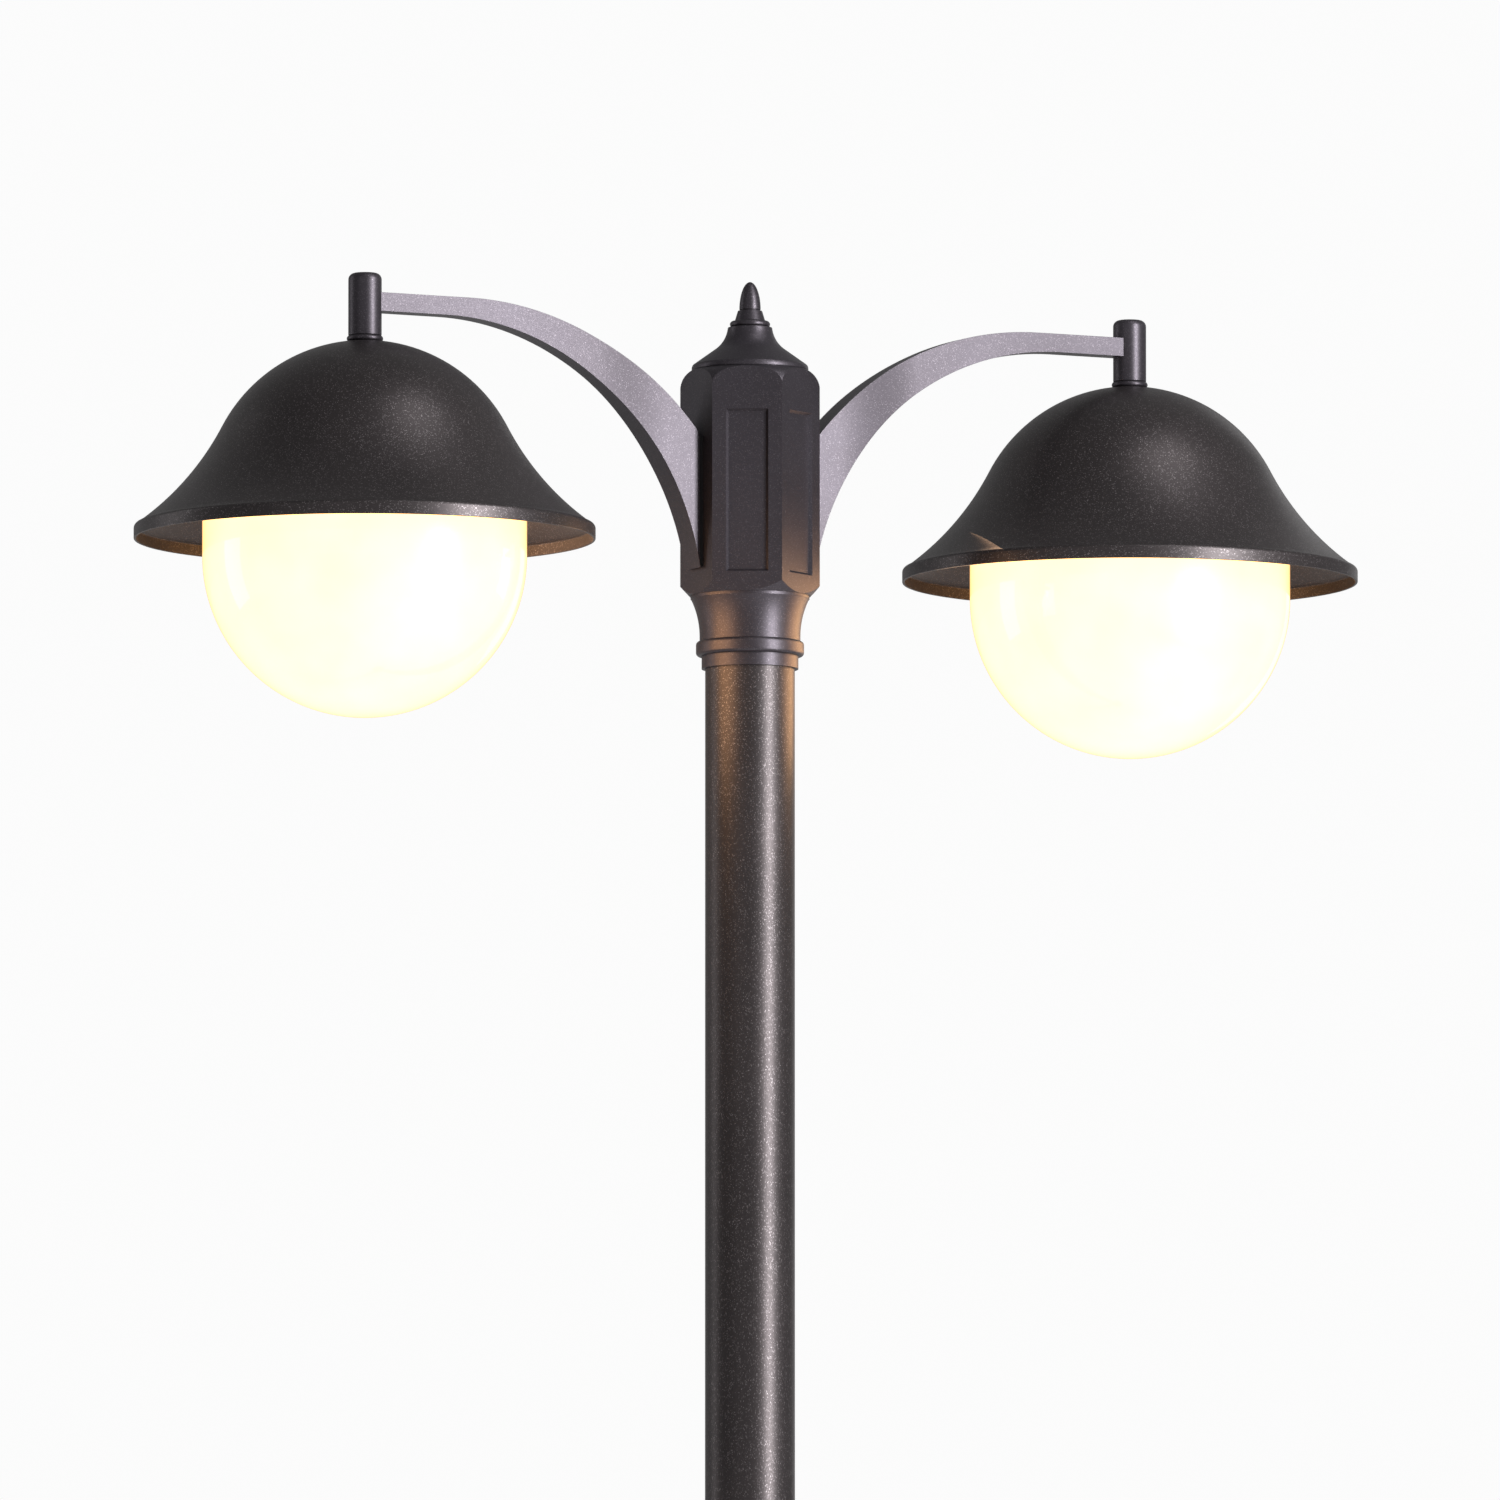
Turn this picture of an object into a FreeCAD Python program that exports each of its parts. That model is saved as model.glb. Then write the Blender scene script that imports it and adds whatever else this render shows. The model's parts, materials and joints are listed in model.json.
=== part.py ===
import FreeCAD, Part
import math
import os
import re
import Sketcher

# A twin-arm street lamp post: a round steel pole on a flange plate, a hexagonal cast head with a
# turned collar and a finial, and two curved arms that each carry a bell shade and an opal globe.
# Millimetres, +Z up. The origin is on the ground, on the pole's axis. The arms run along X.

SIZES = [
    ("post_height", 3400, "ground to the tip of the finial"),
    ("lamp_reach", 427, "pole axis to lamp axis"),
    ("running_gap", 0.3, "clearance round a piece that slips over another"),
    ("pin_gap", 0.05, "radial clearance of a shaft that turns in its hole"),
    ("overrun", 2, "how far a cut runs past the metal, or one fused solid into the next"),
    ("pole_diameter", 88.9, "outside of the pole tube"),
    ("pole_wall", 4, "wall of the pole tube"),
    ("pole_joint", 630, "ground to the joint between the two lengths of the pole"),
    ("sleeve_reach", 50, "sleeve inside the joint, upwards and downwards"),
    ("sleeve_wall", 3, "sleeve inside the joint"),
    ("pole_entry", 45, "length of the pole inside the hub"),
    ("plate_radius", 145, "round flange plate"),
    ("plate_thickness", 15, "flange plate"),
    ("plate_cable_radius", 30, "cable hole in the flange plate"),
    ("anchor_spacing", 165, "anchor holes, centre to centre"),
    ("anchor_hole_radius", 9, "holes for M16 anchors"),
    ("gusset_width", 55, "stiffening plate along the flange"),
    ("gusset_height", 75, "stiffening plate up the pole"),
    ("gusset_thickness", 8, "stiffening plate"),
    ("cover_radius", 156, "base cover at the ground"),
    ("cover_foot", 28, "upright band of the base cover"),
    ("cover_rise", 125, "from the band to the neck ring of the base cover"),
    ("cover_ring_wall", 12.25, "neck ring of the base cover, outside the pole's clearance"),
    ("cover_ring_height", 16, "neck ring of the base cover"),
    ("cover_curve", 165, "hollow curve of the base cover"),
    ("cover_wall", 3, "wall of the base cover"),
    ("cover_seam", 0.4, "each half of the base cover stands this far from the seam"),
    ("grub_radius", 3, "M6 grub screws"),
    ("grub_recess", 1, "grub screws below the surface"),
    ("door_level", 450, "middle of the hand hole above the ground"),
    ("hand_hole_width", 46, "hand hole across the pole"),
    ("hand_hole_height", 230, "hand hole up the pole"),
    ("hand_hole_corner", 8, "rounded corners of the hand hole"),
    ("door_width", 60, "access door across the pole"),
    ("door_height", 256, "access door up the pole"),
    ("door_sheet", 2, "sheet of the access door"),
    ("hinge_offset", 4, "door edge to hinge pin"),
    ("knuckle_radius", 4, "hinge knuckles"),
    ("knuckle_length", 60, "middle knuckle, on the door"),
    ("knuckle_step", 30, "each outer knuckle, on the pole"),
    ("hinge_pin_radius", 2, "hinge pin"),
    ("hinge_pin_end", 2, "hinge pin beyond its knuckles"),
    ("hinge_pin_head", 1, "head of the hinge pin, wider all round"),
    ("lock_level", 100, "lock above the middle of the door"),
    ("lock_radius", 6, "lock barrel"),
    ("lock_head_radius", 9, "lock face"),
    ("lock_key_radius", 4.8, "corners of the triangular key socket"),
    ("lock_barrel_end", 2, "lock barrel beyond its cam"),
    ("lock_cam_length", 20, "lock cam from the lock's axis"),
    ("lock_cam_width", 10, "lock cam"),
    ("lock_cam_sheet", 3, "lock cam"),
    ("lock_cam_gap", 1, "inside of the pole to the lock cam as it turns past the hand hole"),
    ("board_width", 54, "gear board across the pole"),
    ("board_height", 224, "gear board"),
    ("board_sheet", 3, "gear board"),
    ("board_depth", 20, "pole axis to the back of the gear board"),
    ("stud_radius", 3, "studs of the gear board"),
    ("stud_spacing", 190, "studs of the gear board"),
    ("stud_nut_radius", 5.4, "nuts and spacers of the studs"),
    ("stud_nut_height", 4, "nuts and spacers of the studs"),
    ("stud_end", 6, "studs beyond the gear board"),
    ("earth_stud_length", 16, "earth stud"),
    ("carrier_width", 36, "fuse carrier"),
    ("carrier_depth", 26, "fuse carrier"),
    ("carrier_height", 78, "fuse carrier"),
    ("carrier_base_depth", 15.6, "base of the fuse carrier"),
    ("carrier_cap_height", 39, "cap of the fuse carrier"),
    ("collar_height", 72.5, "turned collar under the hub"),
    ("collar_ring_wall", 3.25, "lowest ring of the collar, outside the pole's clearance"),
    ("collar_ring_height", 12.5, "lowest ring of the collar"),
    ("bead_wall", 8.85, "bead of the collar, outside the pole's clearance"),
    ("bead_height", 14.9, "bead of the collar"),
    ("collar_neck_wall", 5.25, "narrow part of the collar, outside the pole's clearance"),
    ("collar_neck_level", 33, "where the collar starts to flare"),
    ("collar_flare", 85, "hollow curve of the collar"),
    ("collar_lip_inset", 1, "top of the collar inside the flats of the hub"),
    ("collar_lip_step", 0.5, "flare of the collar inside its lip"),
    ("collar_lip_height", 3, "top of the collar"),
    ("hub_width", 120, "hexagonal hub across its flats"),
    ("hub_height", 225, "hexagonal hub"),
    ("hub_foot_chamfer", 10, "turned chamfer at the bottom of the hub"),
    ("shoulder_height", 22, "turned shoulder at the top of the hub"),
    ("shoulder_curve", 22, "turned shoulder at the top of the hub"),
    ("hub_wall", 10, "metal between the hub's cavity and its flats"),
    ("hub_web", 6, "web that stops the pole"),
    ("hub_web_hole", 28, "cable hole in the web"),
    ("panel_width", 42, "sunk panel on a face of the hub"),
    ("panel_height", 162, "sunk panel on a face of the hub"),
    ("panel_level", 19, "bottom of the hub to the bottom of a panel"),
    ("panel_depth", 3, "sunk panel"),
    ("cap_inset", 2, "edge of the cap inside the flats of the hub"),
    ("cap_edge_width", 2, "rounded edge of the cap"),
    ("cap_edge_height", 6.2, "rounded edge of the cap"),
    ("cap_slope_radius", 34.6, "where the cap starts to curve upwards"),
    ("cap_slope_height", 21.5, "where the cap starts to curve upwards"),
    ("cap_neck_radius", 22, "top of the cap"),
    ("cap_height", 43.4, "cap of the hub"),
    ("cap_curve", 30.5, "hollow curve of the cap"),
    ("spigot_height", 12, "ring of the cap inside the hub"),
    ("spigot_wall", 5, "ring of the cap inside the hub"),
    ("finial_height", 45.6, "finial above the cap"),
    ("finial_bead_radius", 20, "bead of the finial"),
    ("finial_bead_height", 6.4, "bead of the finial"),
    ("finial_cone_radius", 15.2, "cone of the finial, bottom"),
    ("finial_cone_top", 12, "cone of the finial, top"),
    ("finial_cone_height", 10.4, "cone of the finial"),
    ("finial_tip_radius", 10.6, "pointed tip of the finial"),
    ("finial_groove", 1, "groove under the tip"),
    ("finial_groove_depth", 1, "groove under the tip"),
    ("finial_stud_radius", 4, "stud that screws into the cap"),
    ("finial_stud_length", 18, "stud that screws into the cap"),
    ("gasket_thickness", 4, "rubber pad between arm and hub"),
    ("gasket_inset", 2, "edge of the rubber pad inside the edge of the arm"),
    ("arm_root", 33, "width of an arm at the hub"),
    ("arm_width", 21.5, "width of an arm at the lamp"),
    ("arm_taper_start", 28, "root of an arm to the start of its taper"),
    ("arm_taper_end", 120, "root of an arm to the end of its taper"),
    ("arm_depth", 18.5, "height of an arm at the lamp"),
    ("arm_top", 352.4, "foot of the collar to the top of the arms"),
    ("arm_top_curve", 322, "upper curve of an arm"),
    ("arm_top_run", 253, "root of an arm to the end of its upper curve"),
    ("arm_low_curve", 281.5, "lower curve of an arm"),
    ("arm_low_run", 278, "root of an arm to the end of its lower curve"),
    ("arm_skin", 5, "metal round the cable way of an arm"),
    ("cable_way", 8, "width of the cable way"),
    ("cable_way_flare", 4, "extra height of the cable way at the hub"),
    ("cable_way_level", 176, "foot of the collar to the cable way at the hub"),
    ("cable_way_start", 66, "root of an arm to where the cable way follows its curves"),
    ("bolt_radius", 4, "M8 arm bolts"),
    ("bolt_low", 160, "foot of the collar to the lower arm bolt"),
    ("bolt_high", 212, "foot of the collar to the upper arm bolt"),
    ("bolt_grip", 12, "thread of an arm bolt inside the arm"),
    ("bolt_head_radius", 6.5, "head of an arm bolt"),
    ("bolt_head_height", 6, "head of an arm bolt"),
    ("stub_radius", 16.5, "upright stub over a lamp"),
    ("stub_top", 371.6, "foot of the collar to the top of a stub"),
    ("stub_round", 6.5, "rounded top of a stub"),
    ("washer_radius", 18, "collar between stub and shade"),
    ("washer_height", 6.5, "collar between stub and shade"),
    ("rim_level", 107.8, "foot of the collar to the rim of a shade"),
    ("shade_radius", 227.5, "shade at its rim"),
    ("shade_lip", 14.5, "upright band of a shade"),
    ("shade_lip_round", 4, "rounded corner above the band"),
    ("shade_lip_inside", 9.5, "upright band of a shade, inside"),
    ("shade_wall", 2.5, "sheet of a shade"),
    ("crown_radius", 158.6, "round crown of a shade"),
    ("crown_level", 38, "rim to the centre of the crown"),
    ("crown_turn", 27.4, "angle at which the crown meets the flare"),
    ("shade_seat", 19, "flat seat on top of a shade"),
    ("rod_radius", 6.5, "threaded tube through a lamp"),
    ("rod_bore", 4, "cable way in the threaded tube"),
    ("rod_entry", 35, "threaded tube inside the stub"),
    ("rod_foot", 8, "threaded tube below the gallery's plate"),
    ("nut_radius", 11, "nuts on the threaded tube"),
    ("nut_height", 6, "nuts on the threaded tube"),
    ("gallery_level", 88, "rim to the plate of the gallery"),
    ("neck_gap", 6, "globe's neck to the gallery's skirt"),
    ("gallery_skirt", 22, "height of the gallery's skirt"),
    ("gallery_wall", 2, "sheet of the gallery"),
    ("globe_radius", 160, "outside of a globe"),
    ("globe_drop", 16.1, "rim to the centre of a globe's bowl"),
    ("globe_straight", 20, "rim to the globe's shoulder"),
    ("globe_shoulder", 42, "rounded shoulder of a globe"),
    ("globe_neck_radius", 98, "neck of a globe"),
    ("globe_neck_height", 22, "neck of a globe"),
    ("globe_bead", 3, "bead round the mouth of a globe"),
    ("globe_bead_height", 5, "bead round the mouth of a globe"),
    ("globe_wall", 4, "glass of a globe"),
    ("screw_radius", 2.5, "thumb screws of the gallery"),
    ("screw_head_radius", 6, "thumb screws of the gallery"),
    ("screw_head_length", 6, "thumb screws of the gallery"),
    ("screw_reach", 20, "thumb screw outside the gallery"),
    ("screw_level", 11, "thumb screws under the gallery's plate"),
    ("holder_radius", 20, "lampholder"),
    ("holder_height", 48, "lampholder"),
    ("holder_thread", 14, "threaded tube's hole in the lampholder"),
    ("holder_slope", 8, "sloping top of the lampholder, inwards"),
    ("holder_slope_height", 10, "sloping top of the lampholder"),
    ("bulb_gap", 3, "end of the bulb to the floor of the lampholder"),
    ("bulb_radius", 30, "bulb"),
    ("bulb_length", 112, "bulb, cap included"),
    ("bulb_cap_radius", 13, "screw cap of the bulb"),
    ("bulb_cap_height", 24, "screw cap of the bulb"),
    ("bulb_tip", 4, "sloping end of the screw cap"),
    ("bulb_collar_radius", 15, "top of the bulb's plastic"),
    ("bulb_collar_drop", 8, "top of the bulb's plastic under its screw cap"),
    ("bulb_neck_radius", 21, "where the bulb widens"),
    ("bulb_neck_drop", 12, "where the bulb widens, under its screw cap"),
]

doc = FreeCAD.newDocument("street_lamp_post")
sheet = doc.addObject("Spreadsheet::Sheet", "Sizes")
for row, (size_name, size_value, size_note) in enumerate(SIZES, start=1):
    sheet.set(f"A{row}", size_note)
    sheet.set(f"B{row}", str(size_value))
    sheet.setAlias(f"B{row}", size_name)
doc.recompute()
SIZE_NAMES = {size[0] for size in SIZES}
SUB_PARTS = []

# Places that several sub-parts share, as expressions on the sheet's names.
POLE_RADIUS = "(pole_diameter / 2)"
POLE_BORE = "(pole_diameter / 2 - pole_wall)"
SLIP_RADIUS = "(pole_diameter / 2 + running_gap)"
COLLAR_FOOT = "(post_height - finial_height - cap_height - hub_height - collar_height)"
HUB_FOOT = f"({COLLAR_FOOT} + collar_height)"
HUB_TOP = f"({HUB_FOOT} + hub_height)"
RIM = f"({COLLAR_FOOT} + rim_level)"
HUB_FACE = "(hub_width / 2)"
HUB_CAVITY = "(hub_width / 2 - hub_wall)"
CAP_RADIUS = "(hub_width / 2 - cap_inset)"
ARM_FACE = "(hub_width / 2 + gasket_thickness)"
TOP_TURN = f"({ARM_FACE} + arm_top_run)"
LOW_TURN = f"({ARM_FACE} + arm_low_run)"
ARM_ROOT_TOP = "(arm_top - arm_top_curve + sqrt(arm_top_curve^2 - arm_top_run^2))"
ARM_ROOT_LOW = "(arm_top - arm_depth - arm_low_curve + sqrt(arm_low_curve^2 - arm_low_run^2))"
CABLE_HOLE = "((cable_way + cable_way_flare) / 2)"
DOOR_INSIDE = SLIP_RADIUS
CAM_SWING = "(lock_cam_length^2 + (lock_cam_width / 2)^2 - (hand_hole_height / 2 - lock_level)^2)"
DOOR_OUTSIDE = f"({SLIP_RADIUS} + door_sheet)"
COVER_RING = f"({SLIP_RADIUS} + cover_ring_wall)"
BEAD_RADIUS = f"({SLIP_RADIUS} + bead_wall)"
HINGE_X = "(-door_width / 2 - hinge_offset)"
HINGE_Y = f"(-sqrt({DOOR_OUTSIDE}^2 - (door_width / 2)^2))"
SEAT = "(crown_level + sqrt(crown_radius^2 - shade_seat^2))"
GALLERY_RADIUS = "(globe_neck_radius + neck_gap)"
GALLERY_TOP = "(gallery_level + gallery_wall)"


def cells(text):
    """The expression with each size's name turned into its cell."""
    def cell(word):
        return "Sizes." + word.group() if word.group() in SIZE_NAMES else word.group()
    return re.sub(r"[a-z_]+", cell, text)


def value(text):
    """What an expression comes to now."""
    result = sheet.evalExpression(cells(text))
    return float(getattr(result, "Value", result))


def new_body(name):
    """An empty body that will be the sub-part of that name; it may hold several solids."""
    body = doc.addObject("PartDesign::Body", name)
    body.Label = name
    body.AllowCompound = True
    SUB_PARTS.append(body)
    return body


def place(body, x="0", y="0", z="0", turn=0):
    """Puts a sub-part at a point, turned about the vertical."""
    body.Placement = FreeCAD.Placement(FreeCAD.Vector(), FreeCAD.Rotation(FreeCAD.Vector(0, 0, 1), turn))
    for axis, text in zip("xyz", (x, y, z)):
        body.setExpression(f"Placement.Base.{axis}", cells(text))


def origin_feature(body, role):
    """A plane or axis of the body's own origin."""
    return next(feature for feature in body.Origin.OriginFeatures if feature.Role == role)


def new_sketch(body, name, plane="XZ_Plane", offset="0", turn=0):
    """A sketch on a plane of the body's origin, moved along that plane's normal or turned about Z."""
    sketch = body.newObject("Sketcher::SketchObject", name)
    sketch.AttachmentSupport = (origin_feature(body, plane), [""])
    sketch.MapMode = "FlatFace"
    spin = FreeCAD.Rotation(FreeCAD.Vector(0, 1, 0), turn)
    sketch.AttachmentOffset = FreeCAD.Placement(FreeCAD.Vector(), spin)
    if turn:
        reach = spin.multVec(FreeCAD.Vector(0, 0, 1))
        sketch.setExpression("AttachmentOffset.Base.x", cells(f"({offset}) * {reach.x}"))
        sketch.setExpression("AttachmentOffset.Base.z", cells(f"({offset}) * {reach.z}"))
    else:
        sketch.setExpression("AttachmentOffset.Base.z", cells(offset))
    return sketch


def bind_point(sketch, geometry, end, x, y):
    """Ties a point of the sketch to two expressions."""
    for kind, text, axis in (("DistanceX", x, -2), ("DistanceY", y, -1)):
        amount = value(text)
        if text == "0":
            sketch.addConstraint(Sketcher.Constraint("PointOnObject", geometry, end, axis))
            continue
        number = sketch.addConstraint(Sketcher.Constraint(kind, -1, 1, geometry, end, amount))
        sketch.setExpression(f"Constraints[{number}]", cells(text))


def outline(sketch, steps):
    """A closed outline. A step is a corner (x, y) reached by a line, or (x, y, radius, side) reached
    by an arc that bows out to the left or the right of the way it goes."""
    corners = [FreeCAD.Vector(value(step[0]), value(step[1]), 0) for step in steps]
    edges = []
    for index, step in enumerate(steps):
        start = corners[index - 1]
        end = corners[index]
        if len(step) == 2:
            edges.append((sketch.addGeometry(Part.LineSegment(start, end)), 1, 2))
            continue
        radius = value(step[2])
        middle = (start + end) / 2
        half = (end - start) / 2
        left = FreeCAD.Vector(-half.y, half.x, 0).normalize()
        height = math.sqrt(max(radius ** 2 - half.Length ** 2, 0))
        bows_left = step[3] == "left"
        centre = middle - left * height if bows_left else middle + left * height
        first, last = (end, start) if bows_left else (start, end)
        angles = [math.atan2(point.y - centre.y, point.x - centre.x) for point in (first, last)]
        circle = Part.Circle(centre, FreeCAD.Vector(0, 0, 1), radius)
        number = sketch.addGeometry(Part.ArcOfCircle(circle, angles[0], angles[1]))
        edges.append((number, 2, 1) if bows_left else (number, 1, 2))
        bound = sketch.addConstraint(Sketcher.Constraint("Radius", number, radius))
        sketch.setExpression(f"Constraints[{bound}]", cells(step[2]))
    for index, step in enumerate(steps):
        number, _, end = edges[index]
        following, start, _ = edges[(index + 1) % len(edges)]
        sketch.addConstraint(Sketcher.Constraint("Coincident", number, end, following, start))
        bind_point(sketch, number, end, step[0], step[1])


def rectangle(sketch, left, right, bottom, top):
    """A rectangle between four expressions."""
    outline(sketch, [(left, bottom), (right, bottom), (right, top), (left, top)])


def circle(sketch, radius, x="0", y="0"):
    """A circle tied to its centre and radius."""
    centre = FreeCAD.Vector(value(x), value(y), 0)
    number = sketch.addGeometry(Part.Circle(centre, FreeCAD.Vector(0, 0, 1), value(radius)))
    bound = sketch.addConstraint(Sketcher.Constraint("Radius", number, value(radius)))
    sketch.setExpression(f"Constraints[{bound}]", cells(radius))
    bind_point(sketch, number, 3, x, y)


def revolve(body, sketch, angle=360, reverse=False):
    """Turns a sketch round the body's Z axis."""
    feature = body.newObject("PartDesign::Revolution", sketch.Name + "_turn")
    feature.Profile = sketch
    feature.ReferenceAxis = (origin_feature(body, "Z_Axis"), [""])
    feature.Angle = angle
    feature.Reversed = reverse
    doc.recompute()
    return feature


def pad(body, sketch, length, symmetric=False, reverse=False):
    """Thickens a sketch."""
    feature = body.newObject("PartDesign::Pad", sketch.Name + "_pad")
    feature.Profile = sketch
    feature.SideType = "Symmetric" if symmetric else "One side"
    feature.Reversed = reverse
    feature.setExpression("Length", cells(length))
    doc.recompute()
    return feature


def cut(body, kind, sketch, set_up):
    """Adds a feature that removes material, and stops if it removed none."""
    before = body.Shape.Volume
    feature = body.newObject(kind, sketch.Name + "_cut")
    feature.Profile = sketch
    set_up(feature)
    doc.recompute()
    if not body.Shape.Volume < before - 1e-3:
        raise RuntimeError(f"{sketch.Name} of {body.Label} cuts nothing")
    return feature


def pocket(body, sketch, length, symmetric=False, reverse=False, taper=0):
    """Cuts a sketch out of the body."""
    def set_up(feature):
        feature.SideType = "Symmetric" if symmetric else "One side"
        feature.Reversed = reverse
        feature.TaperAngle = taper
        feature.setExpression("Length", cells(length))
    return cut(body, "PartDesign::Pocket", sketch, set_up)


def groove(body, sketch):
    """Cuts a sketch turned round the body's Z axis."""
    def set_up(feature):
        feature.ReferenceAxis = (origin_feature(body, "Z_Axis"), [""])
        feature.Angle = 360
    return cut(body, "PartDesign::Groove", sketch, set_up)


def repeat_round(body, features, count):
    """Repeats features evenly round the body's Z axis."""
    pattern = body.newObject("PartDesign::PolarPattern", body.Name + "_round")
    pattern.Originals = features
    pattern.Axis = (origin_feature(body, "Z_Axis"), [""])
    pattern.Angle = 360
    pattern.Occurrences = count
    body.Tip = pattern
    doc.recompute()
    return pattern


def turned(name, steps, x="0", z="0", y="0"):
    """A sub-part that is one turned profile."""
    body = new_body(name)
    profile = new_sketch(body, name + "_profile")
    outline(profile, steps)
    revolve(body, profile)
    place(body, x, y, z)
    return body


def radial_holes(body, level, radius, reach, count, start="0"):
    """Round holes through a wall, evenly round the body's Z axis, the first towards +X."""
    sketch = new_sketch(body, body.Name + "_holes", "YZ_Plane", start)
    circle(sketch, radius, "0", level)
    hole = pocket(body, sketch, reach, reverse=True)
    return repeat_round(body, [hole], count)


def grub_screws(name, outer, level, count, turn):
    """Grub screws in one node, evenly round the pole."""
    body = new_body(name)
    sketch = new_sketch(body, name + "_end", "YZ_Plane", SLIP_RADIUS)
    circle(sketch, "grub_radius")
    repeat_round(body, [pad(body, sketch, f"{outer} - {SLIP_RADIUS}")], count)
    place(body, z=level, turn=turn)


# ---------------------------------------------------------------- foot of the post

def base_plate():
    body = new_body("base_plate")
    sketch = new_sketch(body, "plate_outline", "XY_Plane")
    circle(sketch, "plate_radius")
    circle(sketch, "plate_cable_radius")
    for x in (-1, 1):
        for y in (-1, 1):
            circle(sketch, "anchor_hole_radius", f"{x} * anchor_spacing / 2", f"{y} * anchor_spacing / 2")
    pad(body, sketch, "plate_thickness")
    place(body)


def base_gussets():
    body = new_body("base_gussets")
    sketch = new_sketch(body, "gusset_outline")
    foot = POLE_RADIUS
    outline(sketch, [
        (foot, "0"),
        (f"{foot} + gusset_width", "0"),
        (f"{foot} + gusset_width", "gusset_thickness"),
        (f"{foot} + gusset_thickness", "gusset_height"),
        (foot, "gusset_height"),
    ])
    repeat_round(body, [pad(body, sketch, "gusset_thickness", symmetric=True)], 4)
    place(body, z="plate_thickness")


def base_covers():
    top = "(cover_foot + cover_rise)"
    wall = "cover_wall"
    for name, reverse, side in (("base_cover_front", True, -1), ("base_cover_back", False, 1)):
        body = new_body(name)
        sketch = new_sketch(body, name + "_profile")
        outline(sketch, [
            (f"cover_radius - {wall}", "0"),
            ("cover_radius", "0"),
            ("cover_radius", "cover_foot"),
            (COVER_RING, top, "cover_curve", "left"),
            (COVER_RING, f"{top} + cover_ring_height"),
            (SLIP_RADIUS, f"{top} + cover_ring_height"),
            (SLIP_RADIUS, f"{top} - {wall}"),
            (f"{COVER_RING} - {wall}", f"{top} - {wall}"),
            (f"cover_radius - {wall}", f"cover_foot - {wall}", f"cover_curve + {wall}", "right"),
        ])
        revolve(body, sketch, 180, reverse)
        for turn in (45, -45):
            hole = new_sketch(body, f"{name}_grub_{turn + 45}", "XZ_Plane", "0", turn)
            circle(hole, "grub_radius + cover_seam", "0", f"{top} + cover_ring_height / 2")
            pocket(body, hole, "2 * cover_radius", symmetric=True)
        place(body, y=f"{side} * cover_seam")
    grub_level = f"{top} + cover_ring_height / 2"
    grub_screws("base_cover_screws", f"({COVER_RING} - grub_recess)", grub_level, 4, 45)


def tube(name, outer, inner, foot, top):
    """A plain length of tube between two levels."""
    body = new_body(name)
    ring = new_sketch(body, name + "_ring", "XY_Plane")
    circle(ring, outer)
    circle(ring, inner)
    pad(body, ring, f"{top} - {foot}")
    place(body, z=foot)
    return body


def pole():
    """Two lengths of one tube, butted over a sleeve. The lower one has the hand hole."""
    tube("pole_shaft", POLE_RADIUS, POLE_BORE, "pole_joint", f"({HUB_FOOT} + pole_entry)")
    sleeve_radius = f"({POLE_BORE} - pin_gap)"
    tube("pole_sleeve", sleeve_radius, f"({sleeve_radius} - sleeve_wall)",
         "(pole_joint - sleeve_reach)", "(pole_joint + sleeve_reach)")
    body = tube("pole_base", POLE_RADIUS, POLE_BORE, "plate_thickness", "pole_joint")
    hole = new_sketch(body, "hand_hole")
    edge = "(hand_hole_width / 2)"
    low = "(door_level - plate_thickness - hand_hole_height / 2)"
    high = "(door_level - plate_thickness + hand_hole_height / 2)"
    corner = "hand_hole_corner"
    outline(hole, [
        (f"-{edge}", f"{low} + {corner}"),
        (f"-{edge} + {corner}", low, corner, "right"),
        (f"{edge} - {corner}", low),
        (edge, f"{low} + {corner}", corner, "right"),
        (edge, f"{high} - {corner}"),
        (f"{edge} - {corner}", high, corner, "right"),
        (f"-{edge} + {corner}", high),
        (f"-{edge}", f"{high} - {corner}", corner, "right"),
    ])
    pocket(body, hole, "pole_diameter", reverse=True)


# ---------------------------------------------------------------- hand hole, door and gear

def access_door():
    body = new_body("access_door")
    sheet_outline = new_sketch(body, "door_sheet_outline", "XY_Plane", "-door_height / 2")
    edge = "(door_width / 2)"
    outline(sheet_outline, [
        (f"-{edge}", f"-sqrt({DOOR_OUTSIDE}^2 - {edge}^2)"),
        (edge, f"-sqrt({DOOR_OUTSIDE}^2 - {edge}^2)", DOOR_OUTSIDE, "right"),
        (edge, f"-sqrt({DOOR_INSIDE}^2 - {edge}^2)"),
        (f"-{edge}", f"-sqrt({DOOR_INSIDE}^2 - {edge}^2)", DOOR_INSIDE, "left"),
    ])
    pad(body, sheet_outline, "door_height")
    leaf = new_sketch(body, "door_leaf", "XY_Plane")
    leaf_end = f"(-{edge} + door_sheet)"
    rectangle(leaf, HINGE_X, leaf_end, f"{HINGE_Y} - door_sheet", HINGE_Y)
    pad(body, leaf, "knuckle_length", symmetric=True)
    knuckle = new_sketch(body, "door_knuckle", "XY_Plane")
    circle(knuckle, "knuckle_radius", HINGE_X, HINGE_Y)
    pad(body, knuckle, "knuckle_length", symmetric=True)
    bore = new_sketch(body, "door_pin_bore", "XY_Plane")
    circle(bore, "hinge_pin_radius + pin_gap", HINGE_X, HINGE_Y)
    pocket(body, bore, "knuckle_length + overrun", symmetric=True)
    lock = new_sketch(body, "door_lock_hole")
    circle(lock, "lock_radius + pin_gap", "0", "lock_level")
    pocket(body, lock, "pole_diameter", reverse=True)
    place(body, z="door_level")


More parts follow.
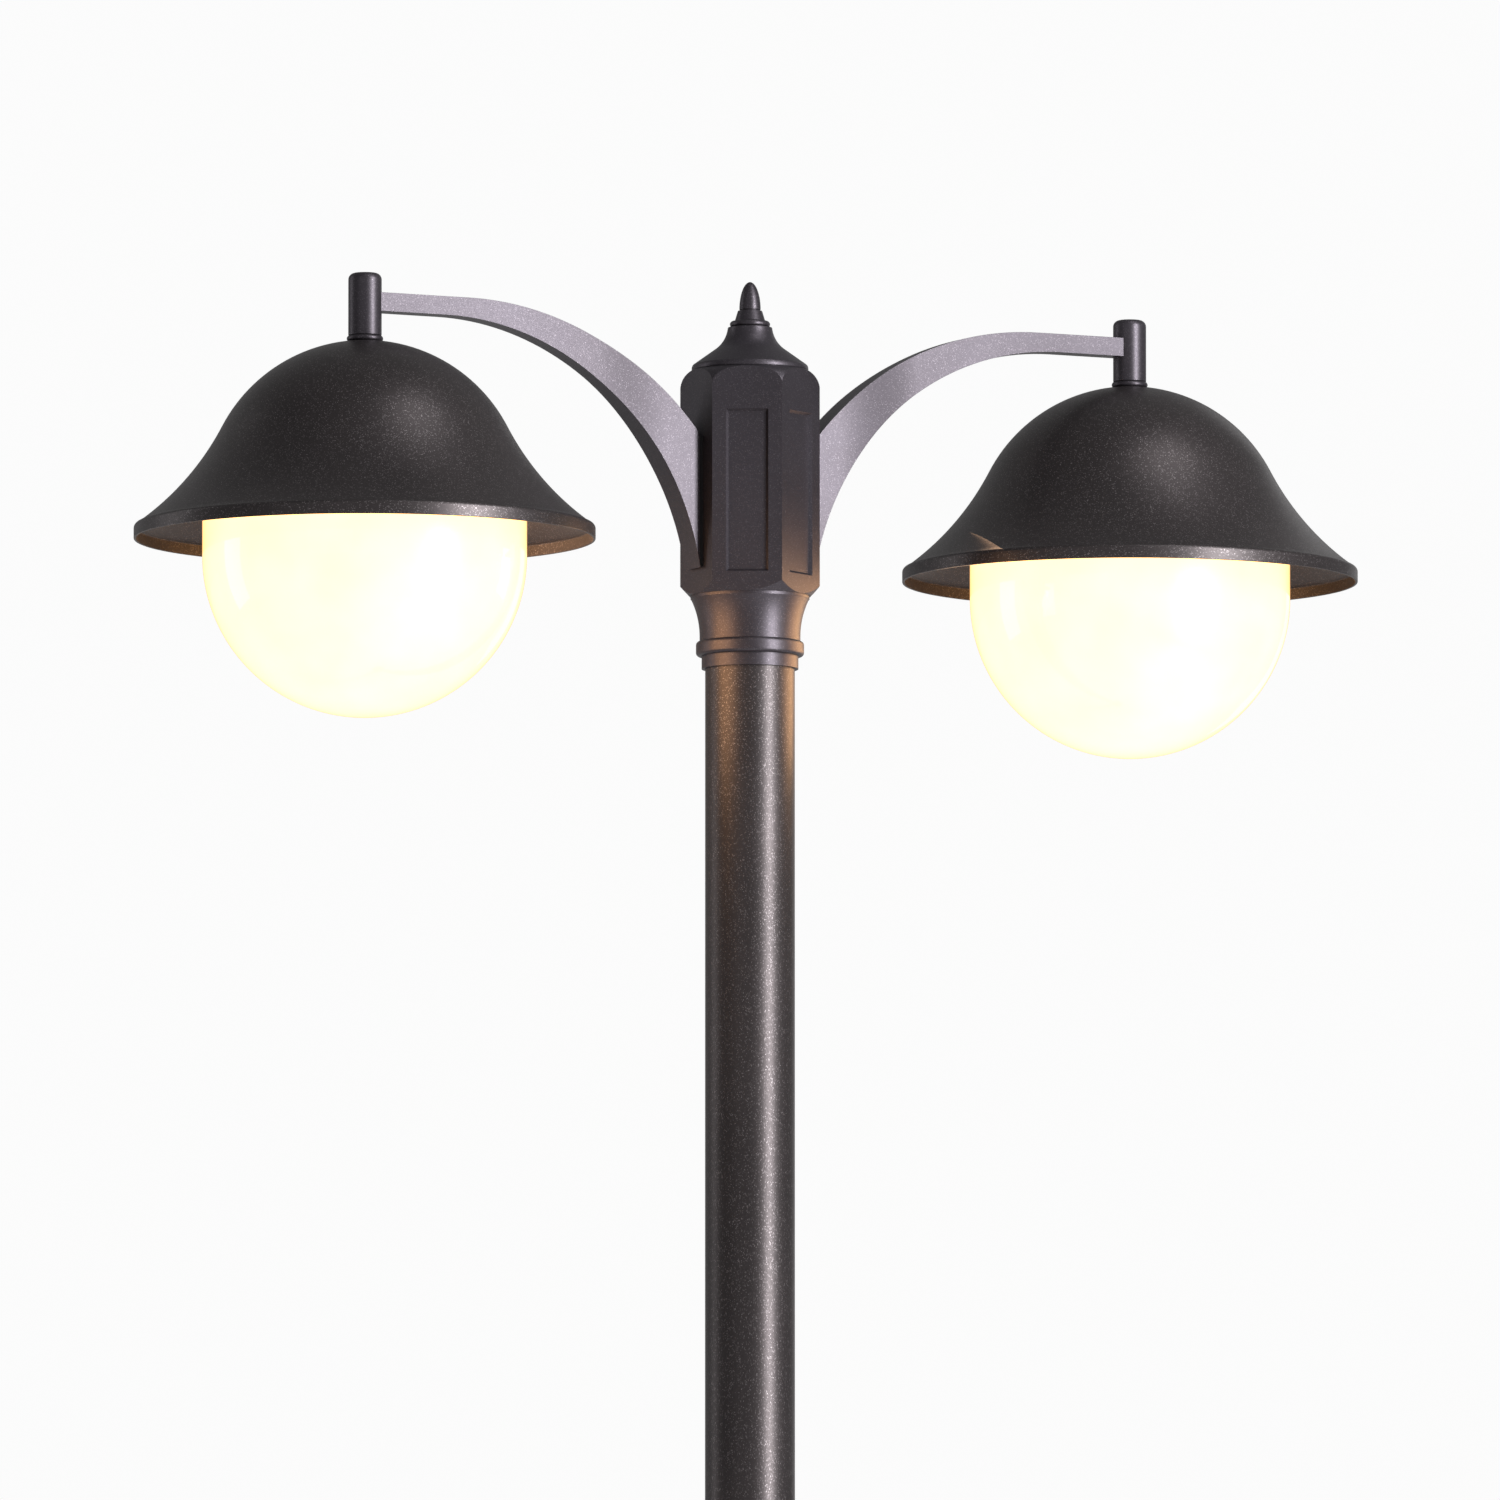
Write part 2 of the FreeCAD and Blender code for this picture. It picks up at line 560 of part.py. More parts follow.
def hinge():
    body = new_body("hinge_brackets")
    far_edge = f"({HINGE_X} - knuckle_radius)"
    features = []
    for side in (-1, 1):
        offset = "knuckle_length / 2 + running_gap" if side > 0 else "-knuckle_length / 2 - running_gap"
        foot = new_sketch(body, f"bracket_foot_{side + 1}", "XY_Plane", offset)
        outline(foot, [
            (far_edge, HINGE_Y),
            (HINGE_X, HINGE_Y),
            (HINGE_X, f"-sqrt({POLE_RADIUS}^2 - {HINGE_X}^2)"),
            (far_edge, f"-sqrt({POLE_RADIUS}^2 - {far_edge}^2)", POLE_RADIUS, "left"),
        ])
        features.append(pad(body, foot, "knuckle_step", reverse=side < 0))
        knuckle = new_sketch(body, f"bracket_knuckle_{side + 1}", "XY_Plane", offset)
        circle(knuckle, "knuckle_radius", HINGE_X, HINGE_Y)
        features.append(pad(body, knuckle, "knuckle_step", reverse=side < 0))
    bore = new_sketch(body, "bracket_bore", "XY_Plane")
    circle(bore, "hinge_pin_radius", HINGE_X, HINGE_Y)
    pocket(body, bore, "knuckle_length + 2 * (knuckle_step + overrun)", symmetric=True)
    place(body, z="door_level")

    pin_half = "(knuckle_length / 2 + knuckle_step + running_gap)"
    turned("hinge_pin", [
        ("0", f"-{pin_half} - hinge_pin_end"),
        ("hinge_pin_radius", f"-{pin_half} - hinge_pin_end"),
        ("hinge_pin_radius", pin_half),
        ("hinge_pin_radius + hinge_pin_head", pin_half),
        ("hinge_pin_radius + hinge_pin_head", f"{pin_half} + hinge_pin_end"),
        ("0", f"{pin_half} + hinge_pin_end"),
    ], x=HINGE_X, y=HINGE_Y, z="door_level")


def door_lock():
    """A quarter-turn lock. It stands unlocked, with its cam across the hand hole."""
    body = new_body("door_lock")
    face = f"({DOOR_OUTSIDE} + running_gap)"
    head = new_sketch(body, "lock_head", "XZ_Plane", face)
    circle(head, "lock_head_radius")
    pad(body, head, "door_sheet")
    cam_back = f"(sqrt({POLE_BORE}^2 - {CAM_SWING}) - lock_cam_gap - lock_cam_sheet)"
    barrel_end = f"({cam_back} - lock_barrel_end)"
    barrel = new_sketch(body, "lock_barrel", "XZ_Plane", barrel_end)
    circle(barrel, "lock_radius")
    pad(body, barrel, f"{face} - {barrel_end}")
    cam = new_sketch(body, "lock_cam", "XZ_Plane", cam_back)
    rectangle(cam, "-lock_cam_width / 2", "lock_cam_length", "-lock_cam_width / 2", "lock_cam_width / 2")
    pad(body, cam, "lock_cam_sheet")
    key = new_sketch(body, "lock_key", "XZ_Plane", f"{face} + door_sheet")
    outline(key, [
        ("-lock_key_radius * cos(30)", "-lock_key_radius / 2"),
        ("lock_key_radius * cos(30)", "-lock_key_radius / 2"),
        ("0", "lock_key_radius"),
    ])
    pocket(body, key, "door_sheet * 2")
    place(body, z="door_level + lock_level")


def gear():
    board = new_body("gear_board")
    front = new_sketch(board, "board_front", "XZ_Plane", "-board_depth")
    rectangle(front, "-board_width / 2", "board_width / 2", "-board_height / 2", "board_height / 2")
    for side in (-1, 1):
        circle(front, "stud_radius + running_gap", "0", f"{side} * stud_spacing / 2")
    pad(board, front, "board_sheet")
    place(board, z="door_level")

    studs = new_body("board_studs")
    for side in (-1, 1):
        level = f"{side} * stud_spacing / 2"
        wall = f"sqrt({POLE_BORE}^2 - stud_radius^2)"
        shank = new_sketch(studs, f"stud_{side + 1}", "XZ_Plane", f"-{wall}")
        circle(shank, "stud_radius", "0", level)
        pad(studs, shank, f"{wall} - board_depth + board_sheet + stud_end")
        nut = new_sketch(studs, f"stud_nut_{side + 1}", "XZ_Plane", "-board_depth + board_sheet")
        circle(nut, "stud_nut_radius", "0", level)
        pad(studs, nut, "stud_nut_height")
        spacer = new_sketch(studs, f"stud_spacer_{side + 1}", "XZ_Plane", "-board_depth")
        circle(spacer, "stud_nut_radius", "0", level)
        pad(studs, spacer, "stud_nut_height", reverse=True)
    place(studs, z="door_level")

    carrier = new_body("fuse_carrier")
    side_view = new_sketch(carrier, "carrier_side", "YZ_Plane")
    back = "(board_depth - board_sheet)"
    outline(side_view, [
        (back, "-carrier_height / 2"),
        (f"{back} - carrier_base_depth", "-carrier_height / 2"),
        (f"{back} - carrier_base_depth", "-carrier_cap_height / 2"),
        (f"{back} - carrier_depth", "-carrier_cap_height / 2"),
        (f"{back} - carrier_depth", "carrier_cap_height / 2"),
        (f"{back} - carrier_base_depth", "carrier_cap_height / 2"),
        (f"{back} - carrier_base_depth", "carrier_height / 2"),
        (back, "carrier_height / 2"),
    ])
    pad(carrier, side_view, "carrier_width", symmetric=True)
    place(carrier, z="door_level")

    earth = new_body("earth_stud")
    shank = new_sketch(earth, "earth_shank", "XZ_Plane", f"-{back}")
    circle(shank, "stud_radius")
    pad(earth, shank, "earth_stud_length")
    nut = new_sketch(earth, "earth_nut", "XZ_Plane", f"-{back}")
    circle(nut, "stud_nut_radius")
    pad(earth, nut, "2 * stud_nut_height")
    place(earth, z="door_level - (stud_spacing + carrier_height) / 4")


# ---------------------------------------------------------------- head of the post

def neck_collar():
    bead_top = "(collar_ring_height + bead_height)"
    bead_round = "(bead_height / 4)"
    neck = f"({SLIP_RADIUS} + collar_neck_wall)"
    lip = f"({HUB_FACE} - collar_lip_inset)"
    grub_level = "collar_ring_height + bead_height / 2"
    body = turned("neck_collar", [
        (SLIP_RADIUS, "0"),
        (f"{SLIP_RADIUS} + collar_ring_wall", "0"),
        (f"{SLIP_RADIUS} + collar_ring_wall", "collar_ring_height"),
        (f"{BEAD_RADIUS} - {bead_round}", "collar_ring_height"),
        (BEAD_RADIUS, f"collar_ring_height + {bead_round}", bead_round, "right"),
        (BEAD_RADIUS, f"{bead_top} - {bead_round}"),
        (f"{BEAD_RADIUS} - {bead_round}", bead_top, bead_round, "right"),
        (neck, bead_top),
        (neck, "collar_neck_level"),
        (f"{lip} - collar_lip_step", "collar_height - collar_lip_height", "collar_flare", "left"),
        (lip, "collar_height - collar_lip_height"),
        (lip, "collar_height"),
        (SLIP_RADIUS, "collar_height"),
    ], z=COLLAR_FOOT)
    radial_holes(body, grub_level, "grub_radius", BEAD_RADIUS, 3)
    grub_screws("collar_screws", f"({BEAD_RADIUS} - grub_recess)", f"{COLLAR_FOOT} + {grub_level}", 3, 0)


def hub_body():
    """The hexagonal casting. Two flats face +X and -X and take the arms; the others are panelled."""
    body = new_body("hub_body")
    hexagon = new_sketch(body, "hub_hexagon", "XY_Plane")
    corner = f"({HUB_FACE} / cos(30))"
    outline(hexagon, [
        (HUB_FACE, f"-{corner} / 2"),
        (HUB_FACE, f"{corner} / 2"),
        ("0", corner),
        (f"-{HUB_FACE}", f"{corner} / 2"),
        (f"-{HUB_FACE}", f"-{corner} / 2"),
        ("0", f"-{corner}"),
    ])
    pad(body, hexagon, "hub_height")
    beyond = f"({corner} + overrun)"
    foot = new_sketch(body, "hub_foot")
    outline(foot, [
        (HUB_FACE, "0"),
        (beyond, "0"),
        (beyond, f"({beyond} - {HUB_FACE}) * hub_foot_chamfer / ({corner} - {HUB_FACE})"),
    ])
    groove(body, foot)
    shoulder = new_sketch(body, "hub_shoulder")
    outline(shoulder, [
        (corner, "hub_height - shoulder_height", "shoulder_curve", "left"),
        (beyond, "hub_height - shoulder_height"),
        (beyond, "hub_height"),
        (CAP_RADIUS, "hub_height"),
    ])
    groove(body, shoulder)
    inside = new_sketch(body, "hub_inside")
    web_foot = "pole_entry"
    outline(inside, [
        ("0", "0"),
        (SLIP_RADIUS, "0"),
        (SLIP_RADIUS, web_foot),
        ("hub_web_hole", web_foot),
        ("hub_web_hole", f"{web_foot} + hub_web"),
        (HUB_CAVITY, f"{web_foot} + hub_web"),
        (HUB_CAVITY, "hub_height"),
        ("0", "hub_height"),
    ])
    groove(body, inside)
    panels = []
    for turn in (30, -30):
        panel = new_sketch(body, f"panel_{turn + 30}", "XZ_Plane", HUB_FACE, turn)
        rectangle(panel, "-panel_width / 2", "panel_width / 2", "panel_level", "panel_level + panel_height")
        panels.append(pocket(body, panel, "panel_depth", taper=-45))
    repeat_round(body, panels, 2)
    for side in (-1, 1):
        face = new_sketch(body, f"arm_holes_{side + 1}", "YZ_Plane")
        for level in ("bolt_low", "bolt_high"):
            circle(face, "bolt_radius + running_gap", "0", f"{level} - collar_height")
        circle(face, CABLE_HOLE, "0", f"cable_way_level + {CABLE_HOLE} - collar_height")
        pocket(body, face, "hub_width", reverse=side > 0)
    place(body, z=HUB_FOOT)


def cap_and_finial():
    spigot = f"({HUB_CAVITY} - running_gap)"
    turned("hub_cap", [
        ("finial_stud_radius + running_gap", "0"),
        (f"{spigot} - spigot_wall", "0"),
        (f"{spigot} - spigot_wall", "-spigot_height"),
        (spigot, "-spigot_height"),
        (spigot, "0"),
        (CAP_RADIUS, "0"),
        (f"{CAP_RADIUS} - cap_edge_width", "cap_edge_height", "cap_edge_height", "right"),
        ("cap_slope_radius", "cap_slope_height"),
        ("cap_neck_radius", "cap_height", "cap_curve", "left"),
        ("finial_stud_radius + running_gap", "cap_height"),
    ], z=HUB_TOP)

    cone_foot = "finial_bead_height"
    cone_top = "(finial_bead_height + finial_cone_height)"
    body = turned("finial", [
        ("0", "-finial_stud_length"),
        ("finial_stud_radius", "-finial_stud_length"),
        ("finial_stud_radius", "0"),
        ("finial_bead_radius - finial_bead_height / 2", "0"),
        ("finial_bead_radius", "finial_bead_height / 2", "finial_bead_height / 2", "right"),
        ("finial_bead_radius - finial_bead_height / 2", cone_foot, "finial_bead_height / 2", "right"),
        ("finial_cone_radius", cone_foot),
        ("finial_cone_top", cone_top),
        ("finial_tip_radius - finial_groove_depth", cone_top),
        ("finial_tip_radius - finial_groove_depth", f"{cone_top} + finial_groove + overrun"),
        ("0", f"{cone_top} + finial_groove + overrun"),
    ], z=f"{HUB_TOP} + cap_height")
    tip = body.newObject("PartDesign::AdditiveEllipsoid", "finial_tip")
    tip.AttachmentSupport = (origin_feature(body, "XY_Plane"), [""])
    tip.MapMode = "FlatFace"
    tip.Angle1 = 0
    tip.setExpression("Radius1", cells(f"finial_height - {cone_top} - finial_groove"))
    tip.setExpression("Radius2", cells("finial_tip_radius"))
    tip.setExpression("Radius3", cells("finial_tip_radius"))
    tip.setExpression("AttachmentOffset.Base.z", cells(f"{cone_top} + finial_groove"))


# ---------------------------------------------------------------- arms

def arm(name, side):
    """A flat-sided arm that sweeps up from the hub and runs level to its stub."""
    body = new_body(name)
    way_top = "(arm_top_curve - arm_skin)"
    way_low = "(arm_low_curve + arm_skin)"
    way_start = f"({ARM_FACE} + cable_way_start)"
    top_rise = f"sqrt({way_top}^2 - (arm_top_run - cable_way_start)^2)"
    low_rise = f"sqrt({way_low}^2 - (arm_low_run - cable_way_start)^2)"
    tip = f"(lamp_reach - {stub_inset()})"
    side_view = new_sketch(body, name + "_side")
    up, down = ("right", "left") if side < 0 else ("left", "right")
    outline(side_view, [
        (f"{side} * {tip}", "arm_top - arm_depth"),
        (f"{side} * {tip}", "arm_top"),
        (f"{side} * {TOP_TURN}", "arm_top"),
        (f"{side} * {ARM_FACE}", ARM_ROOT_TOP, "arm_top_curve", down),
        (f"{side} * {ARM_FACE}", ARM_ROOT_LOW),
        (f"{side} * {LOW_TURN}", "arm_top - arm_depth", "arm_low_curve", up),
    ])
    pad(body, side_view, "arm_root", symmetric=True)

    for edge in (-1, 1):
        taper = new_sketch(body, f"{name}_taper_{edge + 1}", "XY_Plane")
        outline(taper, [
            (f"{side} * ({ARM_FACE} + arm_taper_start)", f"{edge} * arm_root / 2"),
            (f"{side} * ({ARM_FACE} + arm_taper_end)", f"{edge} * arm_width / 2"),
            (f"{side} * lamp_reach", f"{edge} * arm_width / 2"),
            (f"{side} * lamp_reach", f"{edge} * (arm_root / 2 + overrun)"),
            (f"{side} * ({ARM_FACE} + arm_taper_start)", f"{edge} * (arm_root / 2 + overrun)"),
        ])
        pocket(body, taper, "arm_top + overrun", reverse=True)

    way = new_sketch(body, name + "_cable_way")
    outline(way, [
        (f"{side} * {tip}", "arm_top - arm_depth + arm_skin"),
        (f"{side} * {tip}", "arm_top - arm_skin"),
        (f"{side} * {TOP_TURN}", "arm_top - arm_skin"),
        (f"{side} * {way_start}", f"arm_top - arm_top_curve + {top_rise}", way_top, down),
        (f"{side} * {ARM_FACE}", "cable_way_level + cable_way + cable_way_flare"),
        (f"{side} * {ARM_FACE}", "cable_way_level"),
        (f"{side} * {way_start}", f"arm_top - arm_depth - arm_low_curve + {low_rise}"),
        (f"{side} * {LOW_TURN}", "arm_top - arm_depth + arm_skin", way_low, up),
    ])
    pocket(body, way, "cable_way", symmetric=True)

    holes = new_sketch(body, name + "_bolt_holes", "YZ_Plane")
    for level in ("bolt_low", "bolt_high"):
        circle(holes, "bolt_radius", "0", level)
    pocket(body, holes, f"{ARM_FACE} + bolt_grip", reverse=side > 0)
    place(body, z=COLLAR_FOOT)


def stub_inset():
    """How far the arm's flat end stands from the lamp's axis, so that it butts into the stub."""
    return "sqrt(stub_radius^2 - (arm_width / 2)^2)"


def arm_fixings(name, side):
    gasket = new_body(f"arm_gasket_{name}")
    face = new_sketch(gasket, f"gasket_{name}_face", "YZ_Plane", f"{side} * {HUB_FACE}")
    edge = "(arm_root / 2 - gasket_inset)"
    rectangle(face, f"-{edge}", edge, f"{ARM_ROOT_LOW} + gasket_inset", f"{ARM_ROOT_TOP} - gasket_inset")
    for level in ("bolt_low", "bolt_high"):
        circle(face, "bolt_radius + running_gap", "0", level)
    circle(face, CABLE_HOLE, "0", f"cable_way_level + {CABLE_HOLE}")
    pad(gasket, face, "gasket_thickness", reverse=side < 0)
    place(gasket, z=COLLAR_FOOT)

    bolts = new_body(f"arm_bolts_{name}")
    seat = f"(sqrt({HUB_CAVITY}^2 - bolt_head_radius^2))"
    for level in ("bolt_low", "bolt_high"):
        head = new_sketch(bolts, f"{level}_head_{name}", "YZ_Plane", f"{side} * ({seat} - bolt_head_height)")
        circle(head, "bolt_head_radius", "0", level)
        pad(bolts, head, "bolt_head_height", reverse=side < 0)
        shank = new_sketch(bolts, f"{level}_shank_{name}", "YZ_Plane", f"{side} * {seat}")
        circle(shank, "bolt_radius", "0", level)
        pad(bolts, shank, f"{ARM_FACE} + bolt_grip - {seat}", reverse=side < 0)
    place(bolts, z=COLLAR_FOOT)


# ---------------------------------------------------------------- lamps

def stub(name, x, side):
    top = "(stub_top - rim_level)"
    foot = f"({SEAT} + washer_height)"
    body = turned(f"stub_{name}", [
        ("0", f"{foot} + rod_entry"),
        ("rod_radius + pin_gap", f"{foot} + rod_entry"),
        ("rod_radius + pin_gap", foot),
        ("stub_radius", foot),
        ("stub_radius", f"{top} - stub_round"),
        ("stub_radius - stub_round", top, "stub_round", "right"),
        ("0", top),
    ], x=x, z=RIM)
    flat = new_sketch(body, f"stub_{name}_flat", "YZ_Plane", f"-1 * {side} * {stub_inset()}")
    level = "(arm_top - rim_level)"
    rectangle(flat, "-arm_width / 2", "arm_width / 2", f"{level} - arm_depth", level)
    pocket(body, flat, "stub_radius", reverse=side < 0)
    way = new_sketch(body, f"stub_{name}_way", "YZ_Plane")
    circle(way, "cable_way / 2", "0", "arm_top - arm_depth / 2 - rim_level")
    pocket(body, way, "stub_radius + overrun", reverse=side < 0)
    half = "(washer_height / 2)"
    turned(f"stub_washer_{name}", [
        ("rod_radius + running_gap", SEAT),
        (f"washer_radius - {half}", SEAT),
        ("washer_radius", f"{SEAT} + {half}", half, "right"),
        (f"washer_radius - {half}", f"{SEAT} + washer_height", half, "right"),
        ("rod_radius + running_gap", f"{SEAT} + washer_height"),
    ], x=x, z=RIM)


def shade(name, x):
    """A spun bell: a round crown that runs into a hollow flare and an upright band."""
    wall = "shade_wall"
    lip_x = "(shade_radius - shade_lip_round)"
    cos_turn = "cos(crown_turn)"
    sin_turn = "sin(crown_turn)"
    # The flare is the arc that leaves the crown smoothly and ends at the band's corner.
    gap_x = f"(crown_radius * {cos_turn} - {lip_x})"
    gap_z = f"(crown_level + crown_radius * {sin_turn} - shade_lip)"
    flare = f"(-({gap_x}^2 + {gap_z}^2) / (2 * ({gap_x} * {cos_turn} + {gap_z} * {sin_turn})))"
    centre_x = f"((crown_radius + {flare}) * {cos_turn})"
    centre_z = f"(crown_level + (crown_radius + {flare}) * {sin_turn})"
    inner_lip_x = f"({centre_x} + ({lip_x} - {centre_x}) * ({flare} + {wall}) / {flare})"
    inner_lip_z = f"({centre_z} + (shade_lip - {centre_z}) * ({flare} + {wall}) / {flare})"
    turned(f"shade_{name}", [
        (f"shade_radius - {wall}", "0"),
        ("shade_radius", "0"),
        ("shade_radius", "shade_lip - shade_lip_round"),
        (lip_x, "shade_lip", "shade_lip_round", "right"),
        (f"crown_radius * {cos_turn}", f"crown_level + crown_radius * {sin_turn}", flare, "left"),
        ("shade_seat", SEAT, "crown_radius", "right"),
        ("rod_radius + running_gap", SEAT),
        ("rod_radius + running_gap", f"{SEAT} - {wall}"),
        ("shade_seat", f"{SEAT} - {wall}"),
        (f"(crown_radius - {wall}) * {cos_turn}", f"crown_level + (crown_radius - {wall}) * {sin_turn}",
         f"crown_radius - {wall}", "left"),
        (inner_lip_x, inner_lip_z, f"{flare} + {wall}", "right"),
        (f"shade_radius - {wall}", "shade_lip_inside"),
    ], x=x, z=RIM)


def hanger(name, x):
    """The threaded tube that holds shade, gallery and lampholder under the stub, and its nuts."""
    top = f"({SEAT} + washer_height + rod_entry)"
    foot = "(gallery_level - rod_foot)"
    turned(f"hanger_tube_{name}", [
        ("rod_bore", foot),
        ("rod_radius", foot),
        ("rod_radius", top),
        ("rod_bore", top),
    ], x=x, z=RIM)
    nuts = new_body(f"hanger_nuts_{name}")
    for place_name, level in (("upper", f"{SEAT} - shade_wall - nut_height"), ("lower", GALLERY_TOP)):
        nut = new_sketch(nuts, f"{place_name}_nut_{name}", "XY_Plane", level)
        circle(nut, "rod_radius")
        outline(nut, [(f"nut_radius * cos({turn})", f"nut_radius * sin({turn})" if turn % 180 else "0")
                      for turn in range(0, 360, 60)])
        pad(nuts, nut, "nut_height")
    place(nuts, x, z=RIM)


def gallery(name, x):
    """The pan that holds the globe's neck."""
    outside = f"({GALLERY_RADIUS} + gallery_wall)"
    body = turned(f"gallery_{name}", [
        ("rod_radius + running_gap", "gallery_level"),
        (GALLERY_RADIUS, "gallery_level"),
        (GALLERY_RADIUS, "gallery_level - gallery_skirt"),
        (outside, "gallery_level - gallery_skirt"),
        (outside, GALLERY_TOP),
        ("rod_radius + running_gap", GALLERY_TOP),
    ], x=x, z=RIM)
    radial_holes(body, "gallery_level - screw_level", "screw_radius + running_gap", f"{outside} + overrun", 3)


def thumb_screws(name, side):
    """Three thumb screws, each its own sub-part, that close on the globe's neck."""
    for letter, turn in (("a", 0), ("b", 120), ("c", 240)):
        body = new_body(f"globe_screw_{name}_{letter}")
        tip = "(globe_neck_radius + running_gap)"
        head = f"({GALLERY_RADIUS} + gallery_wall + screw_reach)"
        shank = new_sketch(body, f"shank_{name}_{letter}", "YZ_Plane", tip)
        circle(shank, "screw_radius")
        pad(body, shank, f"{head} - {tip}")
        knob = new_sketch(body, f"knob_{name}_{letter}", "YZ_Plane", head)
        circle(knob, "screw_head_radius")
        pad(body, knob, "screw_head_length")
        place(body, x=f"{side} * lamp_reach", z=f"{RIM} + gallery_level - screw_level", turn=turn)


def globe(name, x):
    """Blown opal glass: a round bowl, a straight side, a shoulder and a beaded neck."""
    wall = "globe_wall"
    shoulder_top = "(globe_straight + globe_shoulder)"
    mouth = f"({shoulder_top} + globe_neck_height)"
    inner_neck = f"(globe_neck_radius - {wall} - globe_bead)"
    turned(f"globe_{name}", [
        ("0", "-globe_drop - globe_radius"),
        ("globe_radius", "-globe_drop", "globe_radius", "right"),
        ("globe_radius", "globe_straight"),
        ("globe_radius - globe_shoulder", shoulder_top, "globe_shoulder", "right"),
        ("globe_neck_radius - globe_bead", shoulder_top),
        ("globe_neck_radius - globe_bead", f"{mouth} - globe_bead_height - globe_bead"),
        ("globe_neck_radius", f"{mouth} - globe_bead_height"),
        ("globe_neck_radius", mouth),
        (inner_neck, mouth),
        (inner_neck, f"{shoulder_top} - {wall}"),
        ("globe_radius - globe_shoulder", f"{shoulder_top} - {wall}"),
        (f"globe_radius - {wall}", "globe_straight", f"globe_shoulder - {wall}", "left"),
        (f"globe_radius - {wall}", "-globe_drop"),
        ("0", f"-globe_drop - globe_radius + {wall}", f"globe_radius - {wall}", "left"),
    ], x=x, z=RIM)


def lampholder(name, x):
    foot = "(gallery_level - holder_height)"
    turned(f"lampholder_{name}", [
        ("rod_radius", "gallery_level"),
        ("rod_radius", "gallery_level - holder_thread"),
        ("bulb_cap_radius + running_gap", "gallery_level - holder_thread"),
        ("bulb_cap_radius + running_gap", foot),
        ("holder_radius", foot),
        ("holder_radius", "gallery_level - holder_slope_height"),
        ("holder_radius - holder_slope", "gallery_level"),
    ], x=x, z=RIM)

    top = "(gallery_level - holder_thread - bulb_gap)"
    cap_foot = f"({top} - bulb_cap_height)"
    bottom = f"({top} - bulb_length)"
    turned(f"led_bulb_{name}", [
        ("0", top),
        ("0", bottom),
        ("bulb_radius", f"{bottom} + bulb_radius", "bulb_radius", "right"),
        ("bulb_neck_radius", f"{cap_foot} - bulb_neck_drop"),
        ("bulb_collar_radius", f"{cap_foot} - bulb_collar_drop"),
        ("bulb_cap_radius", f"{cap_foot} - bulb_collar_drop"),
        ("bulb_cap_radius", f"{top} - bulb_tip"),
        ("bulb_cap_radius / 2", top),
    ], x=x, z=RIM)


def lamp(name, side):
    x = f"{side} * lamp_reach"
    stub(name, x, side)
    shade(name, x)
    hanger(name, x)
    gallery(name, x)
    thumb_screws(name, side)
    globe(name, x)
    lampholder(name, x)


def build():
    base_plate()
    base_gussets()
    base_covers()
    pole()
    access_door()
    hinge()
    door_lock()
    gear()
    neck_collar()
    hub_body()
    cap_and_finial()
    for name, side in (("left", -1), ("right", 1)):
        arm(f"arm_{name}", side)
        arm_fixings(name, side)
        lamp(name, side)


def export():
    """Stops on any object that failed, then writes one STEP file for each sub-part."""
    doc.recompute()
    for item in doc.Objects:
        if "Invalid" in item.State or "Error" in item.State:
            raise RuntimeError(f"{item.Name} ({item.Label}) failed: {item.State}")
    os.makedirs("parts", exist_ok=True)
    for body in SUB_PARTS:
        shape = body.Shape
        if shape.isNull() or not shape.isValid():
            raise RuntimeError(f"{body.Label} has no valid shape")
        shape.exportStep(f"parts/{body.Label}.step")


build()
export()
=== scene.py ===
import json
import math

import bpy
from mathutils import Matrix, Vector


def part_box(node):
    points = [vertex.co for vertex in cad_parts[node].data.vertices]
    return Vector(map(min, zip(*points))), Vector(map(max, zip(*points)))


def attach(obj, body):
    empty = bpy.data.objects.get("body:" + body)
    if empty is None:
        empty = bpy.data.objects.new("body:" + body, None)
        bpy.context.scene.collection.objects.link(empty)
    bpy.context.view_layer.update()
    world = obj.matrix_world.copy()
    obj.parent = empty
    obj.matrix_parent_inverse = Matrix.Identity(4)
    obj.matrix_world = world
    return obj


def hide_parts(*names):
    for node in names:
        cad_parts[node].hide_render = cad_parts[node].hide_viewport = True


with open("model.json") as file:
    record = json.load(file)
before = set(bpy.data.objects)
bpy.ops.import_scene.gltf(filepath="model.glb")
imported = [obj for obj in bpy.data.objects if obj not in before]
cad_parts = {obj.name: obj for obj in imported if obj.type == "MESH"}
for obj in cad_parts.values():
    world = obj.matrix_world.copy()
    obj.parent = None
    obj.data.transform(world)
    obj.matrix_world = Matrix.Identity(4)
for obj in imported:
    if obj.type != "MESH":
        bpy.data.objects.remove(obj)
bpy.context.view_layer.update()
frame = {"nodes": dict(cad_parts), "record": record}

MM = 0.001
DEG = math.pi / 180
SIDES = {"left": -1, "right": 1}

# Levels and axes of the post, in metres, read from the frame.
FINIAL_SPIGOT = 18 * MM
COLLAR_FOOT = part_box("neck_collar")[0].z
HUB_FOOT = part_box("hub_body")[0].z
HUB_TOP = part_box("hub_body")[1].z
CAP_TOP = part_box("finial")[0].z + FINIAL_SPIGOT
FINIAL_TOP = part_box("finial")[1].z
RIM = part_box("shade_left")[0].z
DOOR_LEVEL = (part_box("access_door")[0].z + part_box("access_door")[1].z) / 2
POLE_RADIUS = (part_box("pole_base")[1].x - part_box("pole_base")[0].x) / 2
POLE_FIT = 0.3 * MM
POST_AXIS = Vector((0, 0, 0))
LAMP_AXES = {side: Vector(((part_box(f"globe_{side}")[0].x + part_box(f"globe_{side}")[1].x) / 2, 0, 0))
             for side in SIDES}


